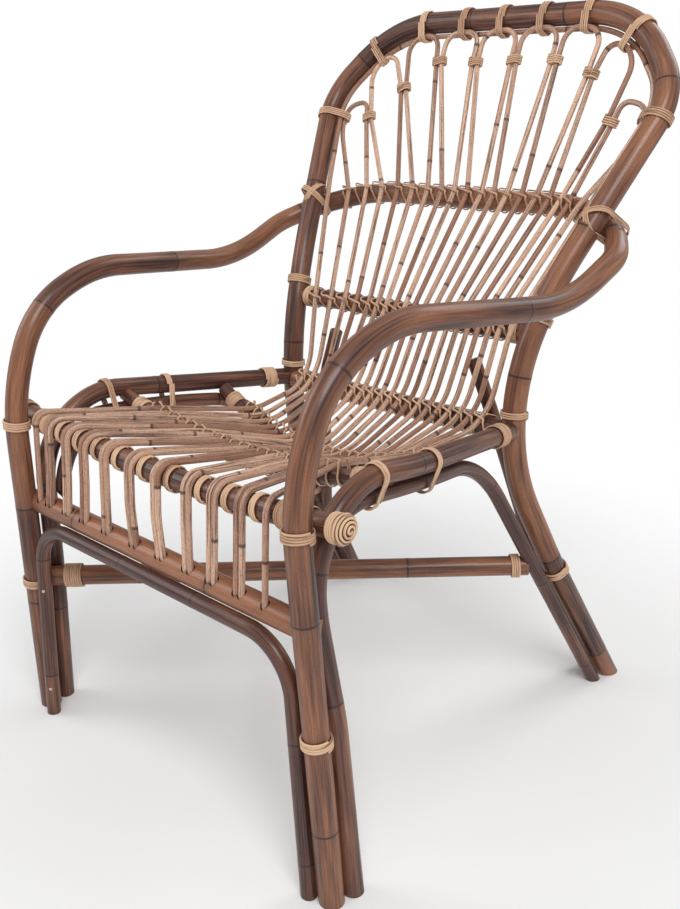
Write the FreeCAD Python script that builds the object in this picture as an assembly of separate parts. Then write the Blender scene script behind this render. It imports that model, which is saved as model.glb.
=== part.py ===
import FreeCAD, Part
import math
import os

Vector = FreeCAD.Vector

# An armchair of bent rattan poles with a sling of single cane strands.
# X runs across the chair, the front faces -Y, Z is up and the floor is Z = 0.
# Places are measured from the seat's own cross plane, and MID_DEPTH moves
# them so that the origin lies under the middle of the whole chair.
MID_DEPTH = 82.24
FLOOR = 0.0
FOOT_OVERRUN = 30.0
BEYOND = 2000.0

# Gaps between pieces
CLEARANCE = 0.3
CANE = 2.5
LASH_ROOM = CANE + 3 * CLEARANCE

# Thickness of each pole
HOOP_THICK = 32.0
ARM_THICK = 30.0
SIDE_RAIL_THICK = 26.0
SIDE_ARCH_THICK = 20.0
FRONT_ARCH_THICK = 20.0
FRONT_RAIL_THICK = 27.0
APRON_THICK = 30.0
STRETCHER_THICK = 28.0
MIDDLE_RAIL_THICK = 27.0
LOWER_RAIL_THICK = 30.0
CROSS_BAR_THICK = 20.0
BRACE_THICK = 20.0
STRAND_THICK = 8.0

# Back hoop: right foot first, with the bend radius at each inner corner
HOOP_FOOT = (270.2, 401.2)
HOOP_CORNERS = (
    (239.3, 257.4, 226.6, 304.0),
    (193.5, 161.8, 437.0, 300.0),
    (224.0, 230.2, 617.1, 478.0),
    (294.1, 373.1, 852.1, 103.0),
    (206.2, 429.7, 957.0, 150.0),
)

# Arm hoop: right front foot first
ARM_FOOT = (284.0, -243.0)
ARM_CORNERS = (
    (256.7, -269.1, 479.0, 280.0),
    (256.8, -226.5, 589.3, 130.0),
    (261.4, -131.0, 631.0, 175.0),
    (293.4, 147.9, 611.8, 250.0),
    (297.4, 252.6, 659.0, 71.0),
    (232.8, 362.2, 707.0, 150.0),
    (112.4, 342.3, 708.0, 300.0),
)

# Poles beside the front leg: outward and rearward of it, at the floor and at their corners
SIDE_RAIL_LEG = (6.5, 27.9)
SIDE_RAIL_KNEE = (-1.5, 31.3)
SIDE_RAIL_TUCK = (-12.0, 26.6)
SIDE_RAIL_CORNER = (-11.0, 28.0)
FRONT_ARCH_LEG = (-24.3, -11.0)
FRONT_ARCH_CORNER = (-29.8, 1.0)
SIDE_ARCH_CORNER = (-34.0, 38.0)

# Side rails, from the front corner to the upright
SIDE_RAIL_KNEE_HEIGHT = 215.0
SIDE_RAIL_TUCK_HEIGHT = 335.0
SIDE_RAIL_LEG_BEND = 400.0
SIDE_RAIL_FRONT_HEIGHT = 481.0
SIDE_RAIL_FRONT_BEND = 105.0
SIDE_RAIL_MIDDLE = (246.0, -70.0, 457.0)
SIDE_RAIL_MIDDLE_BEND = 600.0
SIDE_RAIL_REAR_HEIGHT = 430.0

# Side arches, under the side rails
SIDE_ARCH_MIDDLE_IN = 3.0
SIDE_ARCH_MIDDLE_AHEAD = 3.2
SIDE_ARCH_FRONT_HEIGHT = 442.0
SIDE_ARCH_FRONT_BEND = 90.0
SIDE_ARCH_REAR_HEIGHT = 411.0
SIDE_ARCH_REAR_BEND = 150.0
SIDE_ARCH_FRONT_END = 345.0
SIDE_ARCH_FOOT = (-4.0, -35.5)

# Rear braces, beside the rear legs and up to the strands
BRACE_FOOT = (-29.3, -8.0)
BRACE_BEND_HEIGHT = 185.0
BRACE_LOWER_BEND = 120.0
BRACE_UPPER_CORNER = (160.0, 212.3, 430.0)
BRACE_UPPER_BEND = 300.0
BRACE_END = (127.0, 203.4, 511.0)

# Rails and bars across the chair
FRONT_RAIL_HEIGHT = 431.0
FRONT_RAIL_RISE = 15.0
FRONT_RAIL_HALF = 291.0
APRON_HEIGHT = 328.0
APRON_SETBACK = 15.0
FRONT_ARCH_BEND = 65.0
MIDDLE_RAIL = (213.5, 556.0)
LOWER_RAIL = (185.0, 427.6)
FRONT_BAR_DEPTH = -107.0
FRONT_BAR_HEIGHT = 416.7
FRONT_BAR_END_HEIGHT = 455.5
REAR_BAR_DEPTH = 50.0
REAR_BAR_HEIGHT = 373.7
REAR_BAR_END_HEIGHT = 436.0
BAR_END_HALF = 247.0
REAR_BAR_END_HALF = 213.0
STRETCHER_HEIGHT = 214.0
STRETCHER_REAR_HEIGHT = 233.0

# Where the strands cross the rails and bars, from the left
UPPER_PLACES = (-214.0, -181.0, -149.0, -113.0, -86.0, -57.0, -31.0, -8.0, 16.0,
                41.0, 62.0, 84.0, 107.0, 127.0, 149.0, 167.0, 184.0, 203.0)
MIDDLE_PLACES = (-164.0, -133.0, -105.0, -82.0, -58.0, -41.0, -25.0, -8.0, 8.0, 24.0,
                 41.0, 58.0, 74.0, 91.0, 107.0, 124.0, 140.0, 157.0, 172.0, 189.0)
SEAT_PITCH = 17.4
SEAT_PITCH_REAR_BAR = 16.2
FRONT_PLACES = (-234.0, -205.0, -166.0, -127.0, -83.0, -33.0, 17.0, 72.0, 116.0, 160.0, 200.0)
APRON_PLACES = (-238.0, -215.0, -175.0, -136.0, -87.0, -30.0, 21.0, 70.0, 111.0, 156.0, 197.0)
PAIR_PITCH = 8.9

# Front of the sling
HOLE_SETBACK = -8.0
HOLE_DEPTH = 9.0
HOLE_OVERRUN = 12.0
FRONT_SWELL = 20.5
FRONT_SWELL_HEIGHT = 388.0

# Top of the sling: each loop's apex (place, drop below the middle one, tilt, half width) and the ties
LOOP_TOPS = (
    (-241.6, 101.0, 12.0, 19.4),
    (-211.3, 36.0, 36.0, 24.0),
    (-142.0, 3.0, 6.0, 27.0),
    (-68.0, 0.2, 0.0, 29.0),
    (-1.0, 0.2, 0.0, 29.0),
    (66.0, 0.2, 0.0, 29.0),
    (136.0, 2.0, -4.0, 29.0),
    (203.0, 30.0, -34.0, 25.0),
    (241.0, 101.0, -12.0, 19.0),
)
LOOP_TIES = ((-211.0, 819.0), (-155.0, 861.0), (-100.0, 899.0), (-33.0, 897.0),
             (34.0, 897.0), (101.0, 897.0), (163.0, 878.0), (212.0, 818.0))
HOOP_SIDE_TIE = (261.6, 800.0)
TIE_PITCH = 9.3
TOP_LEAN = 14.0
SIDE_TOUCH = 130.0
SIDE_EASE = 2.3


def place(x, depth, height):
    """A point of the chair in the chair's own frame."""
    return Vector(x, depth - MID_DEPTH, height)


def mirrored_point(point):
    return Vector(-point.x, point.y, point.z)


def arc_between(start, corner, end):
    """The arc that leaves start towards corner and arrives at end."""
    middle = (start + end) * 0.5
    half_turn = (corner - start).getAngle(end - start)
    rise = math.tan(half_turn / 2) / math.tan(half_turn)
    return Part.Arc(start, middle + (corner - middle) * rise, end)


def bent_path(points, radii, share=None):
    """Straight runs with a tangent arc at each inner point.

    With a share, no arc takes more than that share of the shorter run.
    """
    edges = []
    start = points[0]
    for before, corner, after, radius in zip(points, points[1:], points[2:], radii):
        back = before - corner
        ahead = after - corner
        half_turn = (math.pi - back.getAngle(ahead)) / 2
        setback = radius * math.tan(half_turn)
        if share:
            setback = min(setback, share * min(back.Length, ahead.Length))
        first = corner + back.normalize() * setback
        last = corner + ahead.normalize() * setback
        if (first - start).Length > 0.01:
            edges.append(Part.LineSegment(start, first).toShape())
        edges.append(arc_between(first, corner, last).toShape())
        start = last
    edges.append(Part.LineSegment(start, points[-1]).toShape())
    return Part.Wire(edges)


def round_pole(path, thickness):
    """A solid round bar along a path."""
    edge = path.Edges[0]
    start = edge.valueAt(edge.FirstParameter)
    along = edge.tangentAt(edge.FirstParameter)
    ring = Part.Wire([Part.Circle(start, along, thickness / 2).toShape()])
    solid = path.makePipeShell([ring], True, False)
    return solid


def cut_at_floor(solid):
    """Feet are sawn flat on the floor."""
    block = Part.makeBox(BEYOND, BEYOND, BEYOND, Vector(-BEYOND / 2, -BEYOND / 2, FLOOR - BEYOND))
    return solid.cut(block)


def largest(shape):
    return max(shape.Solids, key=lambda solid: solid.Volume)


def coped(solid, hosts):
    """The end of a bar, hollowed to fit the round poles that it butts on."""
    for path, thickness in hosts:
        solid = solid.cut(round_pole(path, thickness + 2 * CLEARANCE))
    return largest(solid)


def mirrored(shape):
    return shape.mirror(Vector(0, 0, 0), Vector(1, 0, 0))


def point_at_height(path, height):
    """The lowest point of a path at a height, found on its right half."""
    samples = [p for p in path.discretize(Distance=1.0) if p.x > 0]
    return min(samples, key=lambda p: abs(p.z - height))


def on_path(path, x, above=600.0):
    """The point of a path at a place across the chair, above a height."""
    samples = [p for p in path.discretize(Distance=0.5) if p.z > above]
    return min(samples, key=lambda p: abs(p.x - x))


def spot_on(path, target):
    """The point of a path nearest to a target, and the direction of the path there."""
    samples = path.discretize(Distance=1.0)
    nearest = min(range(2, len(samples) - 2), key=lambda i: (samples[i] - target).Length)
    return samples[nearest], (samples[nearest + 2] - samples[nearest - 2]).normalize()


def below_floor(foot, toward):
    """A path's end a little under the floor, in line with its first run."""
    back = (foot - toward).normalize()
    return foot + back * (FOOT_OVERRUN / abs(back.z))


def leg_point(foot, slope, height):
    """The point of a straight leg at a height."""
    return foot + slope * (height / slope.z)


def beside_front_leg(height, offset):
    """A point beside the front leg at a height, offset outward and rearward."""
    return leg_point(arm_foot, arm_slope, height) + Vector(offset[0], offset[1], 0)


# Paths of the bent poles
def both_sides(foot, corners):
    right = [place(foot[0], foot[1], FLOOR)] + [place(*corner[:3]) for corner in corners]
    right[0] = below_floor(right[0], right[1])
    points = right + [mirrored_point(point) for point in reversed(right)]
    radii = [corner[3] for corner in corners]
    return bent_path(points, radii + radii[::-1])


hoop_path = both_sides(HOOP_FOOT, HOOP_CORNERS)
arm_path = both_sides(ARM_FOOT, ARM_CORNERS)

arm_foot = place(ARM_FOOT[0], ARM_FOOT[1], FLOOR)
arm_slope = (place(*ARM_CORNERS[0][:3]) - arm_foot).normalize()
hoop_foot = place(HOOP_FOOT[0], HOOP_FOOT[1], FLOOR)
hoop_slope = (place(*HOOP_CORNERS[0][:3]) - hoop_foot).normalize()

side_rail_foot = beside_front_leg(FLOOR, SIDE_RAIL_LEG)
side_rail_corner = beside_front_leg(SIDE_RAIL_FRONT_HEIGHT, SIDE_RAIL_CORNER)
side_rail_rear = point_at_height(hoop_path, SIDE_RAIL_REAR_HEIGHT)
side_rail_knee = beside_front_leg(SIDE_RAIL_KNEE_HEIGHT, SIDE_RAIL_KNEE)
side_rail_tuck = beside_front_leg(SIDE_RAIL_TUCK_HEIGHT, SIDE_RAIL_TUCK)
side_rail_path = bent_path(
    [below_floor(side_rail_foot, side_rail_knee), side_rail_knee, side_rail_tuck, side_rail_corner,
     place(*SIDE_RAIL_MIDDLE), side_rail_rear],
    [SIDE_RAIL_LEG_BEND, SIDE_RAIL_LEG_BEND, SIDE_RAIL_FRONT_BEND, SIDE_RAIL_MIDDLE_BEND])

under_rail = (SIDE_RAIL_THICK + SIDE_ARCH_THICK) / 2 + 2 * CLEARANCE
side_arch_front_end = beside_front_leg(SIDE_ARCH_FRONT_END, SIDE_ARCH_CORNER)
side_arch_front = beside_front_leg(SIDE_ARCH_FRONT_HEIGHT, SIDE_ARCH_CORNER)
side_arch_rear_foot = hoop_foot + Vector(SIDE_ARCH_FOOT[0], SIDE_ARCH_FOOT[1], 0)
side_arch_rear = leg_point(side_arch_rear_foot, hoop_slope, SIDE_ARCH_REAR_HEIGHT)
side_arch_middle = place(*SIDE_RAIL_MIDDLE) - Vector(SIDE_ARCH_MIDDLE_IN, SIDE_ARCH_MIDDLE_AHEAD, under_rail)
side_arch_path = bent_path(
    [below_floor(side_arch_rear_foot, side_arch_rear), side_arch_rear, side_arch_middle,
     side_arch_front, side_arch_front_end],
    [SIDE_ARCH_REAR_BEND, SIDE_RAIL_MIDDLE_BEND, SIDE_ARCH_FRONT_BEND])

brace_foot = hoop_foot + Vector(BRACE_FOOT[0], BRACE_FOOT[1], 0)
brace_corner = leg_point(brace_foot, hoop_slope, BRACE_BEND_HEIGHT)
brace_path = bent_path(
    [below_floor(brace_foot, brace_corner), brace_corner, place(*BRACE_UPPER_CORNER), place(*BRACE_END)],
    [BRACE_LOWER_BEND, BRACE_UPPER_BEND])

front_arch_foot = beside_front_leg(FLOOR, FRONT_ARCH_LEG)
under_apron = (APRON_THICK + FRONT_ARCH_THICK) / 2 + CLEARANCE
arch_ahead = APRON_SETBACK - FRONT_ARCH_CORNER[1]
leg_lean = -arm_slope.y / arm_slope.z
arch_reach = math.sqrt(under_apron ** 2 * (1 + leg_lean ** 2) - arch_ahead ** 2)
front_arch_height = APRON_HEIGHT - (arch_reach + arch_ahead * leg_lean) / (1 + leg_lean ** 2)
front_arch_corner = beside_front_leg(front_arch_height, FRONT_ARCH_CORNER)
front_arch_points = [below_floor(front_arch_foot, front_arch_corner), front_arch_corner]
front_arch_points += [mirrored_point(point) for point in reversed(front_arch_points)]
front_arch_path = bent_path(front_arch_points, [FRONT_ARCH_BEND, FRONT_ARCH_BEND])


# Paths of the rails and bars
def straight_across(depth, height, half):
    edge = Part.LineSegment(place(-half, depth, height), place(half, depth, height))
    return Part.Wire([edge.toShape()])


def bowed_across(depth, height, end_height, half):
    arc = Part.Arc(place(-half, depth, end_height), place(0, depth, height), place(half, depth, end_height))
    return Part.Wire([arc.toShape()])


def on_bow(x, height, end_height, half):
    """The height of a bowed bar at a place along it, and its direction there."""
    rise = end_height - height
    radius = (half * half + rise * rise) / (2 * rise)
    drop = math.sqrt(radius * radius - x * x)
    return height + radius - drop, Vector(drop / radius, 0, x / radius)


arm_at_front_rail = leg_point(arm_foot, arm_slope, FRONT_RAIL_HEIGHT)
front_rail_depth = arm_at_front_rail.y + MID_DEPTH + (ARM_THICK + FRONT_RAIL_THICK) / 2 + LASH_ROOM
front_rail_end_height = FRONT_RAIL_HEIGHT + FRONT_RAIL_RISE
front_rail_path = bowed_across(front_rail_depth, FRONT_RAIL_HEIGHT, front_rail_end_height, FRONT_RAIL_HALF)
arm_at_apron = leg_point(arm_foot, arm_slope, APRON_HEIGHT)
apron_depth = arm_at_apron.y + MID_DEPTH + APRON_SETBACK
apron_path = straight_across(apron_depth, APRON_HEIGHT, arm_at_apron.x)
middle_rail_path = straight_across(MIDDLE_RAIL[0], MIDDLE_RAIL[1], point_at_height(hoop_path, MIDDLE_RAIL[1]).x)
lower_rail_path = straight_across(LOWER_RAIL[0], LOWER_RAIL[1], point_at_height(hoop_path, LOWER_RAIL[1]).x)
front_bar_path = bowed_across(FRONT_BAR_DEPTH, FRONT_BAR_HEIGHT, FRONT_BAR_END_HEIGHT, BAR_END_HALF)
rear_bar_path = bowed_across(REAR_BAR_DEPTH, REAR_BAR_HEIGHT, REAR_BAR_END_HEIGHT, REAR_BAR_END_HALF)

stretcher_front = leg_point(arm_foot, arm_slope, STRETCHER_HEIGHT)
stretcher_rear = leg_point(side_arch_rear_foot, hoop_slope, STRETCHER_REAR_HEIGHT)
stretcher_path = Part.Wire([Part.LineSegment(mirrored_point(stretcher_front), stretcher_rear).toShape()])


# Strands
BEND_AT_MIDDLE_RAIL = 60.0
BEND_AT_LOWER_RAIL = 60.0
BEND_AT_REAR_BAR = 120.0
BEND_AT_FRONT_BAR = 120.0
BEND_AT_UPPER_RAIL = 60.0
FRONT_SWELL_BEND = 150.0
TIE_BEND = 80.0
LOOP_BEND = 60.0
SIDE_BEND = 400.0
SHARE_OF_RUN = 0.48
LEVEL = Vector(1, 0, 0)
FIRST_RISE = 20.0
ROUNDS = 30


def upper_rail_contact():
    """Where the strands' back plane touches the upper rail, its slope, and its height under the hoop."""
    rail = place(0, ARM_CORNERS[-1][1], ARM_CORNERS[-1][2])
    top = place(0, HOOP_CORNERS[-1][1], HOOP_CORNERS[-1][2])
    off_top = (HOOP_THICK + STRAND_THICK) / 2 + CLEARANCE
    off_rail = (ARM_THICK + STRAND_THICK) / 2 + CLEARANCE
    lean = math.radians(TOP_LEAN)
    up = (top - rail).normalize()
    for _ in range(6):
        front = Vector(0, -up.z, up.y)
        apex = top - up * (off_top * math.cos(lean)) + front * (off_top * math.sin(lean))
        contact = rail + front * off_rail
        up = (apex - contact).normalize()
    return contact, up, apex.z


back_contact, back_up, apex_height = upper_rail_contact()


def on_back(x, height):
    """A point of the strands' back plane."""
    rise = height - back_contact.z
    return Vector(x, back_contact.y + rise * back_up.y / back_up.z, height)


def strand_supports(spots):
    """What one strand passes over: (point of the bar's axis, its direction, its thickness, the bend)."""
    front_bar_x, rear_bar_x, lower_x, middle_x, upper_x = spots[2:]
    front_height, front_direction = on_bow(front_bar_x, FRONT_BAR_HEIGHT, FRONT_BAR_END_HEIGHT, BAR_END_HALF)
    rear_height, rear_direction = on_bow(rear_bar_x, REAR_BAR_HEIGHT, REAR_BAR_END_HEIGHT, REAR_BAR_END_HALF)
    upper, upper_direction = spot_on(arm_path, on_path(arm_path, upper_x))
    return [
        (place(front_bar_x, FRONT_BAR_DEPTH, front_height), front_direction, CROSS_BAR_THICK, BEND_AT_FRONT_BAR),
        (place(rear_bar_x, REAR_BAR_DEPTH, rear_height), rear_direction, CROSS_BAR_THICK, BEND_AT_REAR_BAR),
        (place(lower_x, *LOWER_RAIL), LEVEL, LOWER_RAIL_THICK, BEND_AT_LOWER_RAIL),
        (place(middle_x, *MIDDLE_RAIL), LEVEL, MIDDLE_RAIL_THICK, BEND_AT_MIDDLE_RAIL),
        (upper, upper_direction * -1, ARM_THICK, BEND_AT_UPPER_RAIL),
    ]


def passing(before, corner, after, support):
    """How a strand passes a bar: the point of its axis beside the bar, the way out, and the corner."""
    centre, direction, thickness, bend = support
    back = (before - corner).normalize()
    ahead = (after - corner).normalize()
    out = direction.cross(ahead - back).normalize()
    half_turn = (math.pi - back.getAngle(ahead)) / 2
    beside = centre + out * ((thickness + STRAND_THICK) / 2 + CLEARANCE)
    inside = back + ahead
    if half_turn > 1e-6:
        inside = inside.normalize() * (bend * (1 / math.cos(half_turn) - 1))
    return beside, out, beside - inside


def strand_leg(spots, supports, after):
    """Corners of one strand from the apron up past its supports, bend radii, and contacts."""
    radius = STRAND_THICK / 2 + CLEARANCE
    hole = place(spots[0], apron_depth + HOLE_SETBACK, APRON_HEIGHT + APRON_THICK / 2 - HOLE_DEPTH)
    front_x = spots[1]
    swell = place(front_x, front_rail_depth - FRONT_SWELL, FRONT_SWELL_HEIGHT)
    over_rail = FRONT_RAIL_THICK / 2 + radius
    rail_height, _ = on_bow(front_x, FRONT_RAIL_HEIGHT, front_rail_end_height, FRONT_RAIL_HALF)
    rail = place(front_x, front_rail_depth, rail_height)
    corners = [rail] + [support[0] + Vector(0, 0, FIRST_RISE) for support in supports] + [after]
    for _ in range(ROUNDS):
        slope = (corners[1].z - rail.z - over_rail) / (corners[1].y - rail.y)
        corners[0] = rail + Vector(0, -over_rail, over_rail * (math.hypot(1, slope) - slope))
        contacts = []
        for index, support in enumerate(supports, 1):
            beside, out, corners[index] = passing(*corners[index - 1:index + 2], support)
            contacts.append((support[0], beside, out))
    points = [hole, swell] + corners[:-1]
    radii = [FRONT_SWELL_BEND, over_rail] + [support[3] for support in supports]
    return points, radii, contacts


def leg_spots(number):
    """Places across the chair of one of the twenty strand legs, from the left."""
    group = (number + 1) // 2
    side = 0
    if 0 < number < 19:
        side = PAIR_PITCH / 2 if number % 2 == 0 else -PAIR_PITCH / 2
    seat = (number - 9.5) * SEAT_PITCH
    upper = UPPER_PLACES[min(max(number, 1), 18) - 1]
    return (APRON_PLACES[group] + side, FRONT_PLACES[group] + side, seat,
            (number - 9.5) * SEAT_PITCH_REAR_BAR, seat, MIDDLE_PLACES[number], upper)


def loop_ends(number):
    """Where one loop's two legs meet the ties that hold it to its neighbours."""
    left = (-HOOP_SIDE_TIE[0], HOOP_SIDE_TIE[1])
    right = HOOP_SIDE_TIE
    if number > 0:
        left = (LOOP_TIES[number - 1][0] + TIE_PITCH / 2, LOOP_TIES[number - 1][1])
    if number < 8:
        right = (LOOP_TIES[number][0] - TIE_PITCH / 2, LOOP_TIES[number][1])
    return on_back(*left), on_back(*right)


contacts_at = [[], [], [], [], []]


def leg(number, supports, after):
    """One of the twenty strand legs; its contacts with the bars are noted for the ties."""
    spots = leg_spots(number)
    points, radii, contacts = strand_leg(spots, strand_supports(spots)[:supports], after)
    for noted, contact in zip(contacts_at, contacts):
        noted.append(contact)
    return points, radii


def fan_loop(number):
    """One strand: up from the apron, over its loop and down again."""
    x, drop, tilt, half = LOOP_TOPS[number]
    height = apex_height - drop
    tie_left, tie_right = loop_ends(number)
    left, left_radii = leg(2 * number + 1, 5, tie_left)
    right, right_radii = leg(2 * number + 2, 5, tie_right)
    lean = math.radians(tilt)
    across = half * math.cos(lean)
    lift = half * math.sin(lean)
    top = [tie_left, on_back(x - across, height - lift), on_back(x + across, height + lift), tie_right]
    radii = left_radii + [TIE_BEND, LOOP_BEND, LOOP_BEND, TIE_BEND] + right_radii[::-1]
    return bent_path(left + top + right[::-1], radii, SHARE_OF_RUN)


def border():
    """The outermost strand: along the inside of the hoop and down both sides."""
    inward = HOOP_THICK / 2 + STRAND_THICK / 2 + CLEARANCE
    lean = math.radians(TOP_LEAN)
    up = back_up
    rear = Vector(0, back_up.z, -back_up.y)
    sideways = Vector(1, 0, 0)
    shoulder = place(*HOOP_CORNERS[3][:3])
    top = place(*HOOP_CORNERS[4][:3])
    waist = place(*HOOP_CORNERS[2][:3])
    behind = rear * (inward * math.sin(lean))
    depth_in = inward * math.cos(lean)
    side_turn = math.tan(0.25 * (shoulder - waist).getAngle(top - shoulder) * 2)
    top_turn = math.tan(0.25 * (top - shoulder).getAngle(sideways * -1) * 2)
    top_in = top - up * depth_in - sideways * (depth_in * top_turn) + behind
    along = (shoulder - waist).normalize()
    inner = (sideways * -1 - along * (along.dot(sideways) * -1)).normalize()
    shoulder_in = shoulder + inner * depth_in - along * (depth_in * side_turn) + behind
    side_in = waist + along * SIDE_TOUCH + inner * (depth_in + SIDE_EASE) + behind
    side_radius = HOOP_CORNERS[3][3] - inward
    top_radius = HOOP_CORNERS[4][3] - inward
    half = [side_in, shoulder_in, top_in]
    left, left_radii = leg(0, 4, mirrored_point(side_in))
    right, right_radii = leg(19, 4, side_in)
    points = left + [mirrored_point(p) for p in half] + half[::-1] + right[::-1]
    radii = left_radii + [SIDE_BEND, side_radius, top_radius, top_radius, side_radius, SIDE_BEND]
    radii += right_radii[::-1]
    return bent_path(points, radii)


strand_paths = {"border_strand": border()}
for number in range(9):
    strand_paths["fan_loop_%d" % (number + 1)] = fan_loop(number)

# Solids
pieces = {}
pieces["back_hoop"] = cut_at_floor(round_pole(hoop_path, HOOP_THICK))
pieces["arm_hoop"] = cut_at_floor(round_pole(arm_path, ARM_THICK))
pieces["front_arch"] = cut_at_floor(round_pole(front_arch_path, FRONT_ARCH_THICK))
pieces["side_rail_right"] = coped(cut_at_floor(round_pole(side_rail_path, SIDE_RAIL_THICK)),
                                  [(hoop_path, HOOP_THICK)])
pieces["side_arch_right"] = cut_at_floor(round_pole(side_arch_path, SIDE_ARCH_THICK))
pieces["rear_brace_right"] = cut_at_floor(round_pole(brace_path, BRACE_THICK))
for name in ("side_rail", "side_arch", "rear_brace"):
    pieces[name + "_left"] = mirrored(pieces[name + "_right"])

pieces["front_seat_rail"] = round_pole(front_rail_path, FRONT_RAIL_THICK)
pieces["middle_back_rail"] = coped(round_pole(middle_rail_path, MIDDLE_RAIL_THICK), [(hoop_path, HOOP_THICK)])


END_ROOM = 120.0


def cut_by_mirror_pair(solid, tool):
    return largest(solid.cut(tool).cut(mirrored(tool)))


side_rail_room = round_pole(side_rail_path, SIDE_RAIL_THICK + 2 * CLEARANCE)
lower_rail = coped(round_pole(lower_rail_path, LOWER_RAIL_THICK), [(hoop_path, HOOP_THICK)])
pieces["lower_back_rail"] = cut_by_mirror_pair(lower_rail, side_rail_room)
side_arch_room = round_pole(side_arch_path, SIDE_ARCH_THICK + 2 * CLEARANCE)
for name, path in (("seat_cross_bar_front", front_bar_path), ("seat_cross_bar_rear", rear_bar_path)):
    end = path.Vertexes[-1].Point
    spot, along = spot_on(side_rail_path, end)
    room = Part.makeCylinder(SIDE_RAIL_THICK / 2 + CLEARANCE, END_ROOM, spot - along * (END_ROOM / 2), along)
    bar = cut_by_mirror_pair(round_pole(path, CROSS_BAR_THICK), room)
    pieces[name] = cut_by_mirror_pair(bar, side_arch_room)

leg_poles = [(arm_path, ARM_THICK), (front_arch_path, FRONT_ARCH_THICK)]
apron = cut_by_mirror_pair(coped(round_pole(apron_path, APRON_THICK), leg_poles), side_rail_room)
for path in strand_paths.values():
    for edge, inner, outer in ((path.Edges[0], 1, 0), (path.Edges[-1], 0, 1)):
        end = edge.Vertexes[outer].Point
        up = (edge.Vertexes[inner].Point - end).normalize()
        deep = HOLE_DEPTH + HOLE_OVERRUN
        drill = Part.makeCylinder(STRAND_THICK / 2 + CLEARANCE, deep, end - up * CLEARANCE, up)
        apron = apron.cut(drill)
pieces["front_apron_rail"] = apron

lashed_leg = (arm_path, ARM_THICK + 2 * LASH_ROOM)
stretcher = coped(round_pole(stretcher_path, STRETCHER_THICK), [lashed_leg, leg_poles[1]])
stretcher = cut_by_mirror_pair(cut_by_mirror_pair(stretcher, side_rail_room), side_arch_room)
other = mirrored(stretcher)
lap = 4 * STRETCHER_THICK
share = stretcher_front.x / (stretcher_front.x + stretcher_rear.x)
crossing = stretcher_front * (1 - share) + stretcher_rear * share
upper_half = Part.makeBox(lap, lap, lap, Vector(-lap / 2, crossing.y - lap / 2, crossing.z))
lower_half = Part.makeBox(lap, lap, lap, Vector(-lap / 2, crossing.y - lap / 2, crossing.z - lap))
stretcher_room = round_pole(stretcher_path, STRETCHER_THICK + 2 * CLEARANCE)
pieces["stretcher_lower"] = stretcher.cut(mirrored(stretcher_room).common(upper_half))
pieces["stretcher_upper"] = other.cut(stretcher_room.common(lower_half))

for name, path in strand_paths.items():
    pieces[name] = round_pole(path, STRAND_THICK)


# Windings of split cane
def biarc(start, leaving, end, arriving):
    """Two arcs from start to end that leave and arrive along the given directions."""
    chord = end - start
    spread = 2 * (1 - leaving.dot(arriving))
    ahead = chord.dot(leaving + arriving)
    square = chord.dot(chord)
    if spread < 1e-9:
        reach = square / (2 * ahead)
    else:
        reach = (math.sqrt(ahead * ahead + spread * square) - ahead) / spread
    first = start + leaving * reach
    second = end - arriving * reach
    middle = (first + second) * 0.5
    edges = []
    for a, corner, b in ((start, first, middle), (middle, second, end)):
        if (corner - a).getAngle(b - a) < 1e-4:
            edges.append(Part.LineSegment(a, b).toShape())
        else:
            edges.append(arc_between(a, corner, b).toShape())
    return edges


def belt(circles):
    """Nodes (point, direction) of a belt round circles given anticlockwise, arcs in quarters."""
    normals = []
    for (a, radius_a), (b, radius_b) in zip(circles, circles[1:] + circles[:1]):
        if len(circles) == 1:
            normals.append(Vector(1, 0, 0))
            continue
        run = b - a
        ratio = (radius_a - radius_b) / run.Length
        run.normalize()
        normals.append(run * ratio + Vector(run.y, -run.x, 0) * math.sqrt(1 - ratio * ratio))
    nodes = []
    for index, (centre, radius) in enumerate(circles):
        start = math.atan2(normals[index - 1].y, normals[index - 1].x)
        end = math.atan2(normals[index].y, normals[index].x)
        turn = (end - start) % (2 * math.pi)
        if len(circles) == 1:
            turn = 2 * math.pi
        pieces_of_turn = max(1, math.ceil(turn / (math.pi / 2) - 1e-6))
        for step in range(pieces_of_turn + (len(circles) > 1)):
            angle = start + turn * step / pieces_of_turn
            out = Vector(math.cos(angle), math.sin(angle), 0)
            nodes.append((centre + out * radius, Vector(-out.y, out.x, 0)))
    return nodes


def winding(origin, axis_x, along, circles, turns, pitch):
    """The path of a cane wound round circles, centred on an origin."""
    axis_y = along.cross(axis_x)
    nodes = belt(circles)
    lengths = [(b[0] - a[0]).Length for a, b in zip(nodes, nodes[1:] + nodes[:1])]
    around = sum(lengths)
    climb = pitch / around
    edges = []
    travelled = -turns * around / 2
    spots = []
    for turn in range(turns):
        for node, length in zip(nodes, lengths):
            spots.append((node, travelled))
            travelled += length
    spots.append((nodes[0], travelled))
    places = []
    for (flat, heading), distance in spots:
        point = origin + axis_x * flat.x + axis_y * flat.y + along * (distance * climb)
        direction = (axis_x * heading.x + axis_y * heading.y + along * climb).normalize()
        places.append((point, direction))
    for (a, leaving), (b, arriving) in zip(places, places[1:]):
        edges += biarc(a, leaving, b, arriving)
    return Part.Wire(edges)


SAMPLE_STEP = 1.2
SAMPLES_APART = 12
least_gaps = {}


def cane(path, name):
    """The solid of one wound cane, with its least gap to itself noted."""
    samples = path.discretize(Distance=SAMPLE_STEP)
    between = [(a - b).Length for i, a in enumerate(samples) for b in samples[i + SAMPLES_APART:]]
    least_gaps[name] = min(between + [least_gaps.get(name, BEYOND) + CANE]) - CANE
    return round_pole(path, CANE)


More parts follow.
